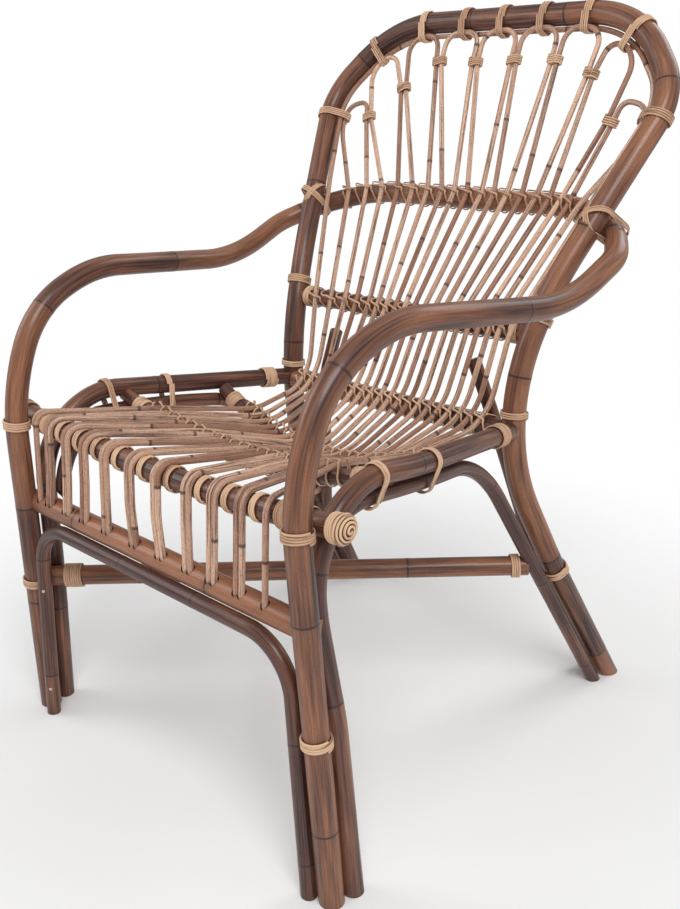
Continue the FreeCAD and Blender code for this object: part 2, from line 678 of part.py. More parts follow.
TURN_PITCH = CANE + 0.55
RIGHTMOST_TIE = 185.0
END_TURN = 9.6
TIE_HALF = 4.6
TIE_EDGE = 3.0
TIE_ADVANCE = 14.0
HALF_CANE = CANE / 2 + CLEARANCE


def any_square(along):
    """A direction square to another."""
    other = Vector(0, 0, 1) if abs(along.z) < 0.8 else Vector(0, 1, 0)
    return other.cross(along).normalize()


def wrap(path, target, thickness, turns):
    """A close wrap round one pole, near a target point."""
    spot, along = spot_on(path, target)
    circle = (Vector(0, 0, 0), thickness / 2 + HALF_CANE)
    return winding(spot, any_square(along), along, [circle], turns, TURN_PITCH)


def wrap_group(path, target, members, turns, ease=0.0):
    """A wrap round a pole and the strands or poles beside it: members are (path, thickness)."""
    spot, along = spot_on(path, target)
    axis_x = None
    circles = []
    for member, thickness in members:
        samples = member.discretize(Distance=0.5)
        beside = min(samples, key=lambda p: abs((p - spot).dot(along)) * 20 + (p - spot).Length)
        offset = beside - spot
        offset = offset - along * offset.dot(along)
        if axis_x is None and offset.Length > 1.0:
            axis_x = Vector(offset).normalize()
        circles.append((offset, thickness / 2 + HALF_CANE + (ease if offset.Length > 1.0 else 0.0)))
    axis_y = along.cross(axis_x)
    flat = [(Vector(offset.dot(axis_x), offset.dot(axis_y), 0), radius) for offset, radius in circles]
    middle = sum([point for point, _ in flat], Vector(0, 0, 0)) * (1.0 / len(flat))
    flat.sort(key=lambda item: math.atan2(item[0].y - middle.y, item[0].x - middle.x))
    return winding(spot, axis_x, along, flat, turns, TURN_PITCH)


def both_of(name, paths):
    """Wrap solids on the right and their mirror images on the left."""
    solids = [cane(path, name) for path in paths]
    pieces[name] = Part.makeCompound(solids + [mirrored(solid) for solid in solids])


def tie_line(path, contacts, bar_thick):
    """One cane that winds along a bar and crosses over each strand on it."""
    contacts = sorted(contacts, key=lambda contact: contact[0].x)
    over_strand = STRAND_THICK + CLEARANCE + HALF_CANE
    height = bar_thick / 2 + over_strand
    circles = [(Vector(0, 0, 0), bar_thick / 2 + HALF_CANE), (Vector(TIE_HALF, height - TIE_EDGE, 0), TIE_EDGE),
               (Vector(-TIE_HALF, height - TIE_EDGE, 0), TIE_EDGE)]
    nodes = belt(circles)
    right_top = max(range(len(nodes)), key=lambda i: (round(nodes[i][0].y, 3), nodes[i][0].x))
    left_top = max(range(len(nodes)), key=lambda i: (round(nodes[i][0].y, 3), -nodes[i][0].x))
    order = nodes[left_top:] + nodes[:right_top + 1]
    first = contacts[0]
    last = contacts[-1]
    beyond = Vector(END_TURN, 0, 0)
    padded = [(first[0] - beyond, first[1] - beyond, first[2])] + contacts
    padded += [(last[0] + beyond, last[1] + beyond, last[2])]
    spots = []
    for index, (before, after) in enumerate(zip(padded, padded[1:])):
        share = 0.5
        if index == 0:
            share = 0.0
        if index == len(padded) - 2:
            share = 1.0
        spot, along = spot_on(path, before[0] * (1 - share) + after[0] * share)
        if along.x < 0:
            along = along * -1
        out = before[2] * (1 - share) + after[2] * share
        up = (out - along * out.dot(along)).normalize()
        side = up.cross(along)
        for flat, heading in order:
            point = spot + side * flat.x + up * flat.y
            spots.append((point, (side * heading.x + up * heading.y).normalize()))
        if index < len(contacts):
            above = after[1] + after[2] * (STRAND_THICK / 2 + HALF_CANE + CLEARANCE)
            spots.append((above, (along * TIE_ADVANCE - side * (2 * TIE_HALF)).normalize()))
    edges = []
    for (a, leaving), (b, arriving) in zip(spots, spots[1:]):
        edges += biarc(a, leaving, b, arriving)
    return Part.Wire(edges)


# Wraps round one pole
front_rail_x = arm_at_front_rail.x
outer_wrap = front_rail_x + ARM_THICK / 2 + CLEARANCE + 3 * TURN_PITCH
rail_end = place(outer_wrap, front_rail_depth, front_rail_end_height)
both_of("front_rail_bindings", [wrap(front_rail_path, rail_end, FRONT_RAIL_THICK, 4)])

LEG_LASH_HEIGHTS = (207.0, 441.0)
both_of("front_leg_lashings", [wrap(arm_path, leg_point(arm_foot, arm_slope, height), ARM_THICK, 4)
                               for height in LEG_LASH_HEIGHTS])
REAR_LASH_HEIGHT = 212.0
both_of("rear_leg_lashings", [wrap(hoop_path, point_at_height(hoop_path, REAR_LASH_HEIGHT), HOOP_THICK, 4)])

STRETCHER_FRONT_WRAP = 55.0
STRETCHER_REAR_WRAP = 26.0
stretcher_run = (stretcher_rear - mirrored_point(stretcher_front)).normalize()
stretcher_length = (stretcher_rear - mirrored_point(stretcher_front)).Length
front_end = mirrored_point(stretcher_front) + stretcher_run * STRETCHER_FRONT_WRAP
rear_end = mirrored_point(stretcher_front) + stretcher_run * (stretcher_length - STRETCHER_REAR_WRAP)
both_of("stretcher_bindings", [wrap(stretcher_path, front_end, STRETCHER_THICK, 8),
                               wrap(stretcher_path, rear_end, STRETCHER_THICK, 4)])

UPRIGHT_LASH_HEIGHT = 452.0
SIDE_RAIL_WRAP = (208.0, 138.0, 430.0)
side_rail_end = place(*SIDE_RAIL_WRAP)
both_of("rear_seat_bindings", [wrap(side_rail_path, side_rail_end, SIDE_RAIL_THICK, 7),
                               wrap(hoop_path, point_at_height(hoop_path, UPRIGHT_LASH_HEIGHT), HOOP_THICK, 3)])
MIDDLE_LASH_HEIGHT = 577.0
middle_lash = point_at_height(hoop_path, MIDDLE_LASH_HEIGHT)
both_of("middle_rail_bindings", [wrap(hoop_path, middle_lash, HOOP_THICK, 4)])
FRONT_BAR_WRAP = (203.0, FRONT_BAR_DEPTH, 440.0)
REAR_BAR_WRAP = (188.0, REAR_BAR_DEPTH, 420.0)
both_of("cross_bar_bindings", [wrap(front_bar_path, place(*FRONT_BAR_WRAP), CROSS_BAR_THICK, 6),
                               wrap(rear_bar_path, place(*REAR_BAR_WRAP), CROSS_BAR_THICK, 6)])

# Wraps round several poles or strands
ARCH_LASH_DEPTHS = (-136.0, -35.0)
ARCH_LASH_PLACE = 246.0
ARCH_LASH_HEIGHT = 466.0
ARCH_LASH_EASE = 2.0
both_of("side_arch_lashings", [
    wrap_group(side_rail_path, place(ARCH_LASH_PLACE, depth, ARCH_LASH_HEIGHT),
               [(side_rail_path, SIDE_RAIL_THICK), (side_arch_path, SIDE_ARCH_THICK)], 3, ARCH_LASH_EASE)
    for depth in ARCH_LASH_DEPTHS])

HOOP_LASH_SIDE = (300.0, 366.0, 812.0)
HOOP_LASH_EASE = 1.0
SIDE_LASH_EASE = 2.4
hoop_wraps = []
for number in range(9):
    x, drop, tilt, half = LOOP_TOPS[number]
    members = [(hoop_path, HOOP_THICK), (strand_paths["border_strand"], STRAND_THICK),
               (strand_paths["fan_loop_%d" % (number + 1)], STRAND_THICK)]
    target = on_back(x, apex_height - drop)
    if number in (0, 8):
        target = place(math.copysign(HOOP_LASH_SIDE[0], x), *HOOP_LASH_SIDE[1:])
    ease = SIDE_LASH_EASE if number in (0, 8) else HOOP_LASH_EASE
    hoop_wraps.append(cane(wrap_group(hoop_path, target, members, 4, ease), "hoop_lashings"))
pieces["hoop_lashings"] = Part.makeCompound(hoop_wraps)

LOOP_TIE_EASE = 1.25
ties = []
for number, (x, height) in enumerate(LOOP_TIES):
    pair = [(strand_paths["fan_loop_%d" % (number + 1)], STRAND_THICK),
            (strand_paths["fan_loop_%d" % (number + 2)], STRAND_THICK)]
    path = wrap_group(pair[0][0], on_back(x - TIE_PITCH / 2, height), pair, 4, LOOP_TIE_EASE)
    ties.append(cane(path, "loop_ties"))
pieces["loop_ties"] = Part.makeCompound(ties)

# Ties along the bars
tie_lines = (
    ("front_bar_ties", front_bar_path, contacts_at[0], CROSS_BAR_THICK),
    ("rear_bar_ties", rear_bar_path, contacts_at[1], CROSS_BAR_THICK),
    ("lower_rail_ties", lower_rail_path, contacts_at[2], LOWER_RAIL_THICK),
    ("middle_rail_ties", middle_rail_path, contacts_at[3], MIDDLE_RAIL_THICK),
    ("upper_rail_ties", arm_path, contacts_at[4], ARM_THICK),
)
for name, path, contacts, thickness in tie_lines:
    contacts = [contact for contact in contacts if contact[0].x < RIGHTMOST_TIE]
    pieces[name] = cane(tie_line(path, contacts, thickness), name)

for name, gap in least_gaps.items():
    print("least gap of", name, "to itself %.2f mm" % gap)

os.makedirs("parts", exist_ok=True)
for name, shape in pieces.items():
    shape.exportStep("parts/%s.step" % name)
    print(name, len(shape.Solids), shape.isValid(), round(shape.Volume))
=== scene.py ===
"""Fan-backed armchair of bent rattan poles with a sling of single cane strands."""
import functools
import math
import random

import bmesh
import bpy
from bpy.props import FloatProperty, FloatVectorProperty, IntProperty, PointerProperty
from mathutils import Matrix, Vector


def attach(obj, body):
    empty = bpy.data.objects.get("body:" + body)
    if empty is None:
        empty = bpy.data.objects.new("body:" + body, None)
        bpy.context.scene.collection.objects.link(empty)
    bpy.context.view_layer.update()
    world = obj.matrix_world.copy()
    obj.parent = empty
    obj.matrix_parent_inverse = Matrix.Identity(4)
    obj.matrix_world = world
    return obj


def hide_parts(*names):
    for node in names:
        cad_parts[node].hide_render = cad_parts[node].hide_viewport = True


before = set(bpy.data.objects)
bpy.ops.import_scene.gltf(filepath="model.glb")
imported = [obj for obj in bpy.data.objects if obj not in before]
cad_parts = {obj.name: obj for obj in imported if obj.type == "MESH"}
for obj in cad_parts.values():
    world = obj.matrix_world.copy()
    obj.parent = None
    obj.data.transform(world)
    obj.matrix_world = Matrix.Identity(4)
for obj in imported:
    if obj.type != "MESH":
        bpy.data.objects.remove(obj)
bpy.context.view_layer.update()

bl_info = {
    "name": "Rattan fan-back armchair",
    "version": (1, 0, 0),
    "blender": (4, 5, 0),
    "location": "View3D > Sidebar > Armchair",
    "description": "Builds the poles, strands and bindings of a rattan armchair",
    "category": "Object",
}

BODY = "root"

# In metres: the middle of the chair's depth, the gap between pieces, how far a foot's line runs on
# below the floor, and the step of the centre lines
MID_DEPTH = 0.08224
CLEARANCE = 0.0003
FOOT_OVERRUN = 0.03
FINE_STEP = 0.001

# Back hoop: right foot first, with the bend radius at each inner corner
HOOP_FOOT = (0.2702, 0.4012)
HOOP_CORNERS = (
    (0.2393, 0.2574, 0.2266, 0.304),
    (0.1935, 0.1618, 0.437, 0.3),
    (0.224, 0.2302, 0.6171, 0.478),
    (0.2941, 0.3731, 0.8521, 0.103),
    (0.2062, 0.4297, 0.957, 0.15),
)

# Arm hoop: right front foot first
ARM_FOOT = (0.284, -0.243)
ARM_CORNERS = (
    (0.2567, -0.2691, 0.479, 0.28),
    (0.2568, -0.2265, 0.5893, 0.13),
    (0.2614, -0.131, 0.631, 0.175),
    (0.2934, 0.1479, 0.6118, 0.25),
    (0.2974, 0.2526, 0.659, 0.071),
    (0.2328, 0.3622, 0.707, 0.15),
    (0.1124, 0.3423, 0.708, 0.3),
)

# Poles beside the front leg: outward and rearward of it
SIDE_RAIL_LEG = (0.0065, 0.0279)
SIDE_RAIL_KNEE = (-0.0015, 0.0313)
SIDE_RAIL_TUCK = (-0.012, 0.0266)
SIDE_RAIL_CORNER = (-0.011, 0.028)
FRONT_ARCH_LEG = (-0.0243, -0.011)
FRONT_ARCH_CORNER = (-0.0298, 0.001)
SIDE_ARCH_CORNER = (-0.034, 0.038)

# Side rails and the arches under them
SIDE_RAIL_KNEE_HEIGHT = 0.215
SIDE_RAIL_TUCK_HEIGHT = 0.335
SIDE_RAIL_LEG_BEND = 0.4
SIDE_RAIL_FRONT_HEIGHT = 0.481
SIDE_RAIL_FRONT_BEND = 0.105
SIDE_RAIL_MIDDLE = (0.246, -0.07, 0.457)
SIDE_RAIL_MIDDLE_BEND = 0.6
SIDE_RAIL_REAR_HEIGHT = 0.43
SIDE_ARCH_MIDDLE_IN = 0.003
SIDE_ARCH_MIDDLE_AHEAD = 0.0032
SIDE_ARCH_FRONT_HEIGHT = 0.442
SIDE_ARCH_FRONT_BEND = 0.09
SIDE_ARCH_FRONT_END = 0.345
SIDE_ARCH_REAR_HEIGHT = 0.411
SIDE_ARCH_REAR_BEND = 0.15
SIDE_ARCH_FOOT = (-0.004, -0.0355)

# Rear braces
BRACE_FOOT = (-0.0293, -0.008)
BRACE_BEND_HEIGHT = 0.185
BRACE_LOWER_BEND = 0.12
BRACE_UPPER_CORNER = (0.16, 0.2123, 0.43)
BRACE_UPPER_BEND = 0.3
BRACE_END = (0.127, 0.2034, 0.511)

# Rails and bars across the chair
FRONT_RAIL_HEIGHT = 0.431
FRONT_RAIL_RISE = 0.015
FRONT_RAIL_HALF = 0.291
APRON_HEIGHT = 0.328
APRON_SETBACK = 0.015
FRONT_ARCH_BEND = 0.065
MIDDLE_RAIL = (0.2135, 0.556)
LOWER_RAIL = (0.185, 0.4276)
FRONT_BAR_DEPTH = -0.107
FRONT_BAR_HEIGHT = 0.4167
FRONT_BAR_END_HEIGHT = 0.4555
REAR_BAR_DEPTH = 0.05
REAR_BAR_HEIGHT = 0.3737
REAR_BAR_END_HEIGHT = 0.436
BAR_END_HALF = 0.247
REAR_BAR_END_HALF = 0.213
STRETCHER_HEIGHT = 0.214
STRETCHER_REAR_HEIGHT = 0.233

# Legs of the strands, how many bars and rails each leg of a loop and of the border strand passes,
# and the height above which the arm hoop's rear stretch is looked for
LEGS = 20
LOOP_SUPPORTS = 5
BORDER_SUPPORTS = 4
UPPER_PART = 0.6

# Where the strands cross the rails and bars, from the left
UPPER_PLACES = (-0.214, -0.181, -0.149, -0.113, -0.086, -0.057, -0.031, -0.008, 0.016,
                0.041, 0.062, 0.084, 0.107, 0.127, 0.149, 0.167, 0.184, 0.203)
MIDDLE_PLACES = (-0.164, -0.133, -0.105, -0.082, -0.058, -0.041, -0.025, -0.008, 0.008, 0.024,
                 0.041, 0.058, 0.074, 0.091, 0.107, 0.124, 0.14, 0.157, 0.172, 0.189)
SEAT_PITCH = 0.0174
SEAT_PITCH_REAR_BAR = 0.0162
FRONT_PLACES = (-0.234, -0.205, -0.166, -0.127, -0.083, -0.033, 0.017, 0.072, 0.116, 0.16, 0.2)
APRON_PLACES = (-0.238, -0.215, -0.175, -0.136, -0.087, -0.03, 0.021, 0.07, 0.111, 0.156, 0.197)
PAIR_PITCH = 0.0089
HOLE_SETBACK = -0.008
HOLE_DEPTH = 0.009
HOLE_ROOM = 0.0012
FRONT_SWELL = 0.0205
FRONT_SWELL_HEIGHT = 0.388

# Top of the sling: each loop's apex (place, drop, tilt in degrees, half width) and the ties
LOOP_TOPS = (
    (-0.2416, 0.101, 12.0, 0.0194),
    (-0.2113, 0.036, 36.0, 0.024),
    (-0.142, 0.003, 6.0, 0.027),
    (-0.068, 0.0002, 0.0, 0.029),
    (-0.001, 0.0002, 0.0, 0.029),
    (0.066, 0.0002, 0.0, 0.029),
    (0.136, 0.002, -4.0, 0.029),
    (0.203, 0.03, -34.0, 0.025),
    (0.241, 0.101, -12.0, 0.019),
)
LOOP_TIES = ((-0.211, 0.819), (-0.155, 0.861), (-0.1, 0.899), (-0.033, 0.897),
             (0.034, 0.897), (0.101, 0.897), (0.163, 0.878), (0.212, 0.818))
HOOP_SIDE_TIE = (0.2616, 0.8)
TIE_PITCH = 0.0093
TOP_LEAN = 14.0
SIDE_TOUCH = 0.13
SIDE_EASE = 0.0023

# Bends of the strands
BEND_AT_MIDDLE_RAIL = 0.06
BEND_AT_LOWER_RAIL = 0.06
BEND_AT_REAR_BAR = 0.12
BEND_AT_FRONT_BAR = 0.12
BEND_AT_UPPER_RAIL = 0.06
FRONT_SWELL_BEND = 0.15
TIE_BEND = 0.08
LOOP_BEND = 0.06
SIDE_BEND = 0.4
SHARE_OF_RUN = 0.48
FIRST_RISE = 0.02
ROUNDS = 30
PLANE_ROUNDS = 6

# Windings of split cane: the gap between turns, the step of their lines, when a pole counts as steep or
# a member as being on the pole itself, and how much nearness along the pole counts in finding a member
TURN_GAP = 0.00055
WOUND_STEP = 0.0018
STEEP = 0.8
NEARLY_ON = 0.001
ALONG_WEIGHT = 20

# Tie lines along the bars
RIGHTMOST_TIE = 0.185
END_TURN = 0.0096
TIE_HALF = 0.0046
TIE_EDGE = 0.003
TIE_ADVANCE = 0.014

# Lashings and wraps on the poles
LASH_TURNS = 4
LEG_LASH_HEIGHTS = (0.207, 0.441)
REAR_LASH_HEIGHT = 0.212
STRETCHER_FRONT_WRAP = 0.055
STRETCHER_REAR_WRAP = 0.026
UPRIGHT_LASH_HEIGHT = 0.452
SIDE_RAIL_WRAP = (0.208, 0.138, 0.43)
MIDDLE_LASH_HEIGHT = 0.577
FRONT_BAR_WRAP = (0.203, FRONT_BAR_DEPTH, 0.44)
REAR_BAR_WRAP = (0.188, REAR_BAR_DEPTH, 0.42)
ARCH_LASH_DEPTHS = (-0.136, -0.035)
ARCH_LASH_PLACE = 0.246
ARCH_LASH_HEIGHT = 0.466
ARCH_LASH_EASE = 0.002
HOOP_LASH_SIDE = (0.3, 0.366, 0.812)
HOOP_LASH_EASE = 0.001
SIDE_LASH_EASE = 0.0024
LOOP_TIE_EASE = 0.00125
FRONT_RAIL_WRAP = 0.2275
FRONT_RAIL_TURNS = 14
PAIR_WRAP = 0.0141
PAIR_TURNS = 3
RAIL_END_WRAP = 0.0265

# Crossed lashings of arm and hoop: where they are looked for, their width and turns
CROSSING_HEIGHTS = (0.6, 0.76)
CROSSING_BEYOND = 0.15
CROSSING_BEHIND = 0.1
CROSSING_STRIDE = 4
CROSSING_WIDE = 1.32
CROSSING_TURNS = 3

# Turns that close over the front rail's ends
DOME_TURNS = 5
DOME_STEPS = 30
DOME_TIP = 0.001
DOME_DEPTH = 0.7
DOME_PLACE = 2.2

# Wound cane: its thickness as a share of the cane's, and what pressing it flat leaves of that
LASHING_THICKNESS = 1.12
LASHING_FLAT = 0.88
TIE_THICKNESS = 1.1
TIE_FLAT = 0.8

# Growth of poles and strands: step of the points, gap between joints, swell at a joint, unevenness
POLE_GROWTH = (0.004, 0.21, 0.016, 0.01)
STRAND_GROWTH = (0.0035, 0.19, 0.05, 0.03)
JOINT_WIDTH = 0.004
NO_JOINT = 1.0
WAVES = (11.0, 23.0, 41.0)

# Seeds of the chance in each group, and what is added for the pieces of the other side
STRAND_SEED = 101
CROSSING_SEED = 200
PAIR_SEED = 240
HOOP_LASH_SEED = 300
LOOP_TIE_SEED = 340
TIE_SEED = 400
OTHER_SEED = 60
OTHER_GRAIN = 3.7
OTHER_TONE = 0.37

# Butted ends, drilled holes, edges and nails; a drill is aimed at a later point of its strand
BUTT_REACH = 0.05
BUTT_SHARE = 0.36
DRILL_AIM = 10
DRILL_RISE = 0.013
DRILL_LENGTH = 0.03
DRILL_SIDES = 20
SHARP_ANGLE = 50.0
NAIL_BEYOND = 0.2
NAIL_HEIGHTS = (0.205, 0.045)
NAIL_RADIUS = 0.0022
NAIL_SIDE = (0.68, -0.73, 0)
NAIL_SINK = 0.0006

# Floor, light and view; a lamp is its name, place, width and power
WHITE = (1.0, 1.0, 1.0)
FLOOR_RADIUS = 9.0
FLOOR_DROP = 0.0002
FLOOR_FADE = (0.42, 1.15)
ROOM_STRENGTH = 0.5
LAMP_AIM = (0, 0, 0.45)
LAMPS = (
    ("key", (1.6, -1.4, 2.6), 1.5, 46.0),
    ("fill", (-2.2, -1.6, 1.9), 1.8, 22.0),
    ("back", (0.6, 2.4, 2.4), 1.6, 20.0),
)
VIEW_ANGLES = (43.0803, 18.8397, 0.1833)
VIEW_POINT = (0.88078, -0.88321, 0.82803)
FOCAL_PIXELS = 988.185
PICTURE_WIDTH = 680.0
PICTURE_HEIGHT = 909.0
PICTURE_CENTRE = (331.963, 448.581)

UP = Vector((0, 0, 1))
LEVEL = Vector((1, 0, 0))
REARWARD = Vector((0, 1, 0))


def place(x, depth, height):
    """A point of the chair in the chair's own frame."""
    return Vector((x, depth - MID_DEPTH, height))


def mirrored_point(point):
    """The point of the chair's other side."""
    return Vector((-point.x, point.y, point.z))


def mirrored(path):
    """The path of the chair's other side."""
    return [mirrored_point(point) for point in path]


def arc_points(first, corner, last, step):
    """Points of the arc that leaves first towards corner and arrives at last."""
    back = (first - corner).normalized()
    ahead = (last - corner).normalized()
    half_turn = (math.pi - back.angle(ahead)) / 2
    if half_turn < 1e-5:
        return [first, last]
    radius = (first - corner).length / math.tan(half_turn)
    centre = corner + (back + ahead).normalized() * (radius / math.cos(half_turn))
    spokes = first - centre, last - centre
    count = max(2, math.ceil(2 * half_turn * radius / step))
    whole = math.sin(2 * half_turn)
    points = []
    for index in range(count + 1):
        share = index / count
        near = math.sin((1 - share) * 2 * half_turn) / whole
        far = math.sin(share * 2 * half_turn) / whole
        points.append(centre + spokes[0] * near + spokes[1] * far)
    return points


def bent_path(points, radii, share=None):
    """Straight runs with a tangent arc at each inner point, as fine points."""
    raw = [points[0]]
    for before, corner, after, radius in zip(points, points[1:], points[2:], radii):
        back = before - corner
        ahead = after - corner
        half_turn = (math.pi - back.angle(ahead)) / 2
        setback = radius * math.tan(half_turn)
        if share:
            setback = min(setback, share * min(back.length, ahead.length))
        first = corner + back.normalized() * setback
        last = corner + ahead.normalized() * setback
        raw += arc_points(first, corner, last, 2 * FINE_STEP)
    raw.append(points[-1])
    return spaced(raw, FINE_STEP)


def spaced(points, step):
    """The same line with even steps."""
    lengths = [0.0]
    for a, b in zip(points, points[1:]):
        lengths.append(lengths[-1] + (b - a).length)
    count = max(2, round(lengths[-1] / step))
    made = []
    index = 0
    for number in range(count + 1):
        goal = lengths[-1] * number / count
        while index < len(points) - 2 and lengths[index + 1] < goal:
            index += 1
        span = lengths[index + 1] - lengths[index]
        share = (goal - lengths[index]) / span if span > 1e-9 else 0.0
        made.append(points[index].lerp(points[index + 1], min(share, 1.0)))
    return made


def point_at_height(path, height):
    """The point of a path at a height, found on its right half."""
    return min((p for p in path if p.x > 0), key=lambda p: abs(p.z - height))


def on_path(path, x):
    """The point of a path's upper part at a place across the chair."""
    return min((p for p in path if p.z > UPPER_PART), key=lambda p: abs(p.x - x))


def spot_on(path, target):
    """The point of a path nearest to a target, and the direction of the path there."""
    nearest = min(range(2, len(path) - 2), key=lambda i: (path[i] - target).length_squared)
    return path[nearest], (path[nearest + 2] - path[nearest - 2]).normalized()


def below_floor(foot, toward):
    """A foot's line run on below the floor, where it is sawn off later."""
    back = (foot - toward).normalized()
    return foot + back * (FOOT_OVERRUN / abs(back.z))


def leg_point(foot, slope, height):
    """The point of a straight leg at a height."""
    return foot + slope * (height / slope.z)


def both_sides(foot, corners):
    """The path of a hoop, from its right foot over to its left one."""
    right = [place(foot[0], foot[1], 0.0)] + [place(*corner[:3]) for corner in corners]
    right[0] = below_floor(right[0], right[1])
    points = right + mirrored(reversed(right))
    radii = [corner[3] for corner in corners]
    return bent_path(points, radii + radii[::-1])


def straight(first, last):
    """The path of a straight pole."""
    return spaced([first, last], FINE_STEP)


def bowed_across(depth, height, end_height, half):
    """The path of a bar across the chair, bowed down between its ends."""
    rise = end_height - height
    radius = (half * half + rise * rise) / (2 * rise)
    turn = math.asin(half / radius)
    count = round(2 * half / FINE_STEP)
    points = []
    for index in range(count + 1):
        angle = turn * (2 * index / count - 1)
        points.append(place(radius * math.sin(angle), depth, height + radius * (1 - math.cos(angle))))
    return points


def on_bow(x, height, end_height, half):
    """The height of a bowed bar at a place along it, and its direction there."""
    rise = end_height - height
    radius = (half * half + rise * rise) / (2 * rise)
    drop = math.sqrt(radius * radius - x * x)
    return height + radius - drop, Vector((drop / radius, 0, x / radius))


class Layout:
    """Every centre line of the chair, worked out from the driving sizes."""

    def __init__(self, sizes):
        self.sizes = sizes
        self.contacts = [[] for _ in range(LOOP_SUPPORTS)]
        self.half_cane = sizes["cane"] / 2 + CLEARANCE
        self.pitch = sizes["cane"] + TURN_GAP
        self.make_poles()
        self.back_contact, self.back_up, self.apex_height = self.upper_rail_contact()
        self.strands = {"border_strand": self.border()}
        for number in range(len(LOOP_TOPS)):
            self.strands["fan_loop_%d" % (number + 1)] = self.fan_loop(number)

    def beside_front_leg(self, height, offset):
        """A point beside the front leg at a height, offset outward and rearward."""
        return leg_point(self.arm_foot, self.arm_slope, height) + Vector((offset[0], offset[1], 0))

    def make_poles(self):
        """Centre lines of the hoops, side rails, side arches and braces."""
        s = self.sizes
        self.hoop = both_sides(HOOP_FOOT, HOOP_CORNERS)
        self.arm = both_sides(ARM_FOOT, ARM_CORNERS)
        self.arm_foot = place(ARM_FOOT[0], ARM_FOOT[1], 0.0)
        self.arm_slope = (place(*ARM_CORNERS[0][:3]) - self.arm_foot).normalized()
        hoop_foot = place(HOOP_FOOT[0], HOOP_FOOT[1], 0.0)
        hoop_slope = (place(*HOOP_CORNERS[0][:3]) - hoop_foot).normalized()
        knee = self.beside_front_leg(SIDE_RAIL_KNEE_HEIGHT, SIDE_RAIL_KNEE)
        middle = place(*SIDE_RAIL_MIDDLE)
        rail = [below_floor(self.beside_front_leg(0.0, SIDE_RAIL_LEG), knee), knee,
                self.beside_front_leg(SIDE_RAIL_TUCK_HEIGHT, SIDE_RAIL_TUCK),
                self.beside_front_leg(SIDE_RAIL_FRONT_HEIGHT, SIDE_RAIL_CORNER), middle,
                point_at_height(self.hoop, SIDE_RAIL_REAR_HEIGHT)]
        self.side_rail = bent_path(rail, [SIDE_RAIL_LEG_BEND, SIDE_RAIL_LEG_BEND, SIDE_RAIL_FRONT_BEND,
                                          SIDE_RAIL_MIDDLE_BEND])
        under = (s["side_rail"] + s["side_arch"]) / 2 + 2 * CLEARANCE
        rear_foot = hoop_foot + Vector((SIDE_ARCH_FOOT[0], SIDE_ARCH_FOOT[1], 0))
        rear = leg_point(rear_foot, hoop_slope, SIDE_ARCH_REAR_HEIGHT)
        arch = [below_floor(rear_foot, rear), rear,
                middle - Vector((SIDE_ARCH_MIDDLE_IN, SIDE_ARCH_MIDDLE_AHEAD, under)),
                self.beside_front_leg(SIDE_ARCH_FRONT_HEIGHT, SIDE_ARCH_CORNER),
                self.beside_front_leg(SIDE_ARCH_FRONT_END, SIDE_ARCH_CORNER)]
        self.side_arch = bent_path(arch, [SIDE_ARCH_REAR_BEND, SIDE_RAIL_MIDDLE_BEND, SIDE_ARCH_FRONT_BEND])
        brace_foot = hoop_foot + Vector((BRACE_FOOT[0], BRACE_FOOT[1], 0))
        corner = leg_point(brace_foot, hoop_slope, BRACE_BEND_HEIGHT)
        brace = [below_floor(brace_foot, corner), corner, place(*BRACE_UPPER_CORNER), place(*BRACE_END)]
        self.brace = bent_path(brace, [BRACE_LOWER_BEND, BRACE_UPPER_BEND])
        self.make_rails(rear_foot, hoop_slope)

    def make_rails(self, rear_foot, hoop_slope):
        """Centre lines of everything that runs across the chair."""
        s = self.sizes
        at_rail = leg_point(self.arm_foot, self.arm_slope, FRONT_RAIL_HEIGHT)
        lash_room = s["cane"] + 3 * CLEARANCE
        self.front_rail_x = at_rail.x
        self.front_rail_depth = at_rail.y + MID_DEPTH + (s["arm"] + s["front_rail"]) / 2 + lash_room
        self.front_rail_end = FRONT_RAIL_HEIGHT + FRONT_RAIL_RISE
        self.front_rail = bowed_across(self.front_rail_depth, FRONT_RAIL_HEIGHT, self.front_rail_end,
                                       FRONT_RAIL_HALF)
        at_apron = leg_point(self.arm_foot, self.arm_slope, APRON_HEIGHT)
        self.apron_depth = at_apron.y + MID_DEPTH + APRON_SETBACK
        self.apron = straight(place(-at_apron.x, self.apron_depth, APRON_HEIGHT),
                              place(at_apron.x, self.apron_depth, APRON_HEIGHT))
        under = (s["apron"] + s["front_arch"]) / 2 + CLEARANCE
        ahead = APRON_SETBACK - FRONT_ARCH_CORNER[1]
        lean = -self.arm_slope.y / self.arm_slope.z
        reach = math.sqrt(under ** 2 * (1 + lean ** 2) - ahead ** 2)
        height = APRON_HEIGHT - (reach + ahead * lean) / (1 + lean ** 2)
        corner = self.beside_front_leg(height, FRONT_ARCH_CORNER)
        right = [below_floor(self.beside_front_leg(0.0, FRONT_ARCH_LEG), corner), corner]
        points = right + mirrored(reversed(right))
        self.front_arch = bent_path(points, [FRONT_ARCH_BEND, FRONT_ARCH_BEND])
        self.middle_rail = self.between_uprights(MIDDLE_RAIL)
        self.lower_rail = self.between_uprights(LOWER_RAIL)
        self.front_bar = bowed_across(FRONT_BAR_DEPTH, FRONT_BAR_HEIGHT, FRONT_BAR_END_HEIGHT, BAR_END_HALF)
        self.rear_bar = bowed_across(REAR_BAR_DEPTH, REAR_BAR_HEIGHT, REAR_BAR_END_HEIGHT, REAR_BAR_END_HALF)
        self.stretcher_front = leg_point(self.arm_foot, self.arm_slope, STRETCHER_HEIGHT)
        self.stretcher_rear = leg_point(rear_foot, hoop_slope, STRETCHER_REAR_HEIGHT)
        self.stretcher = straight(mirrored_point(self.stretcher_front), self.stretcher_rear)

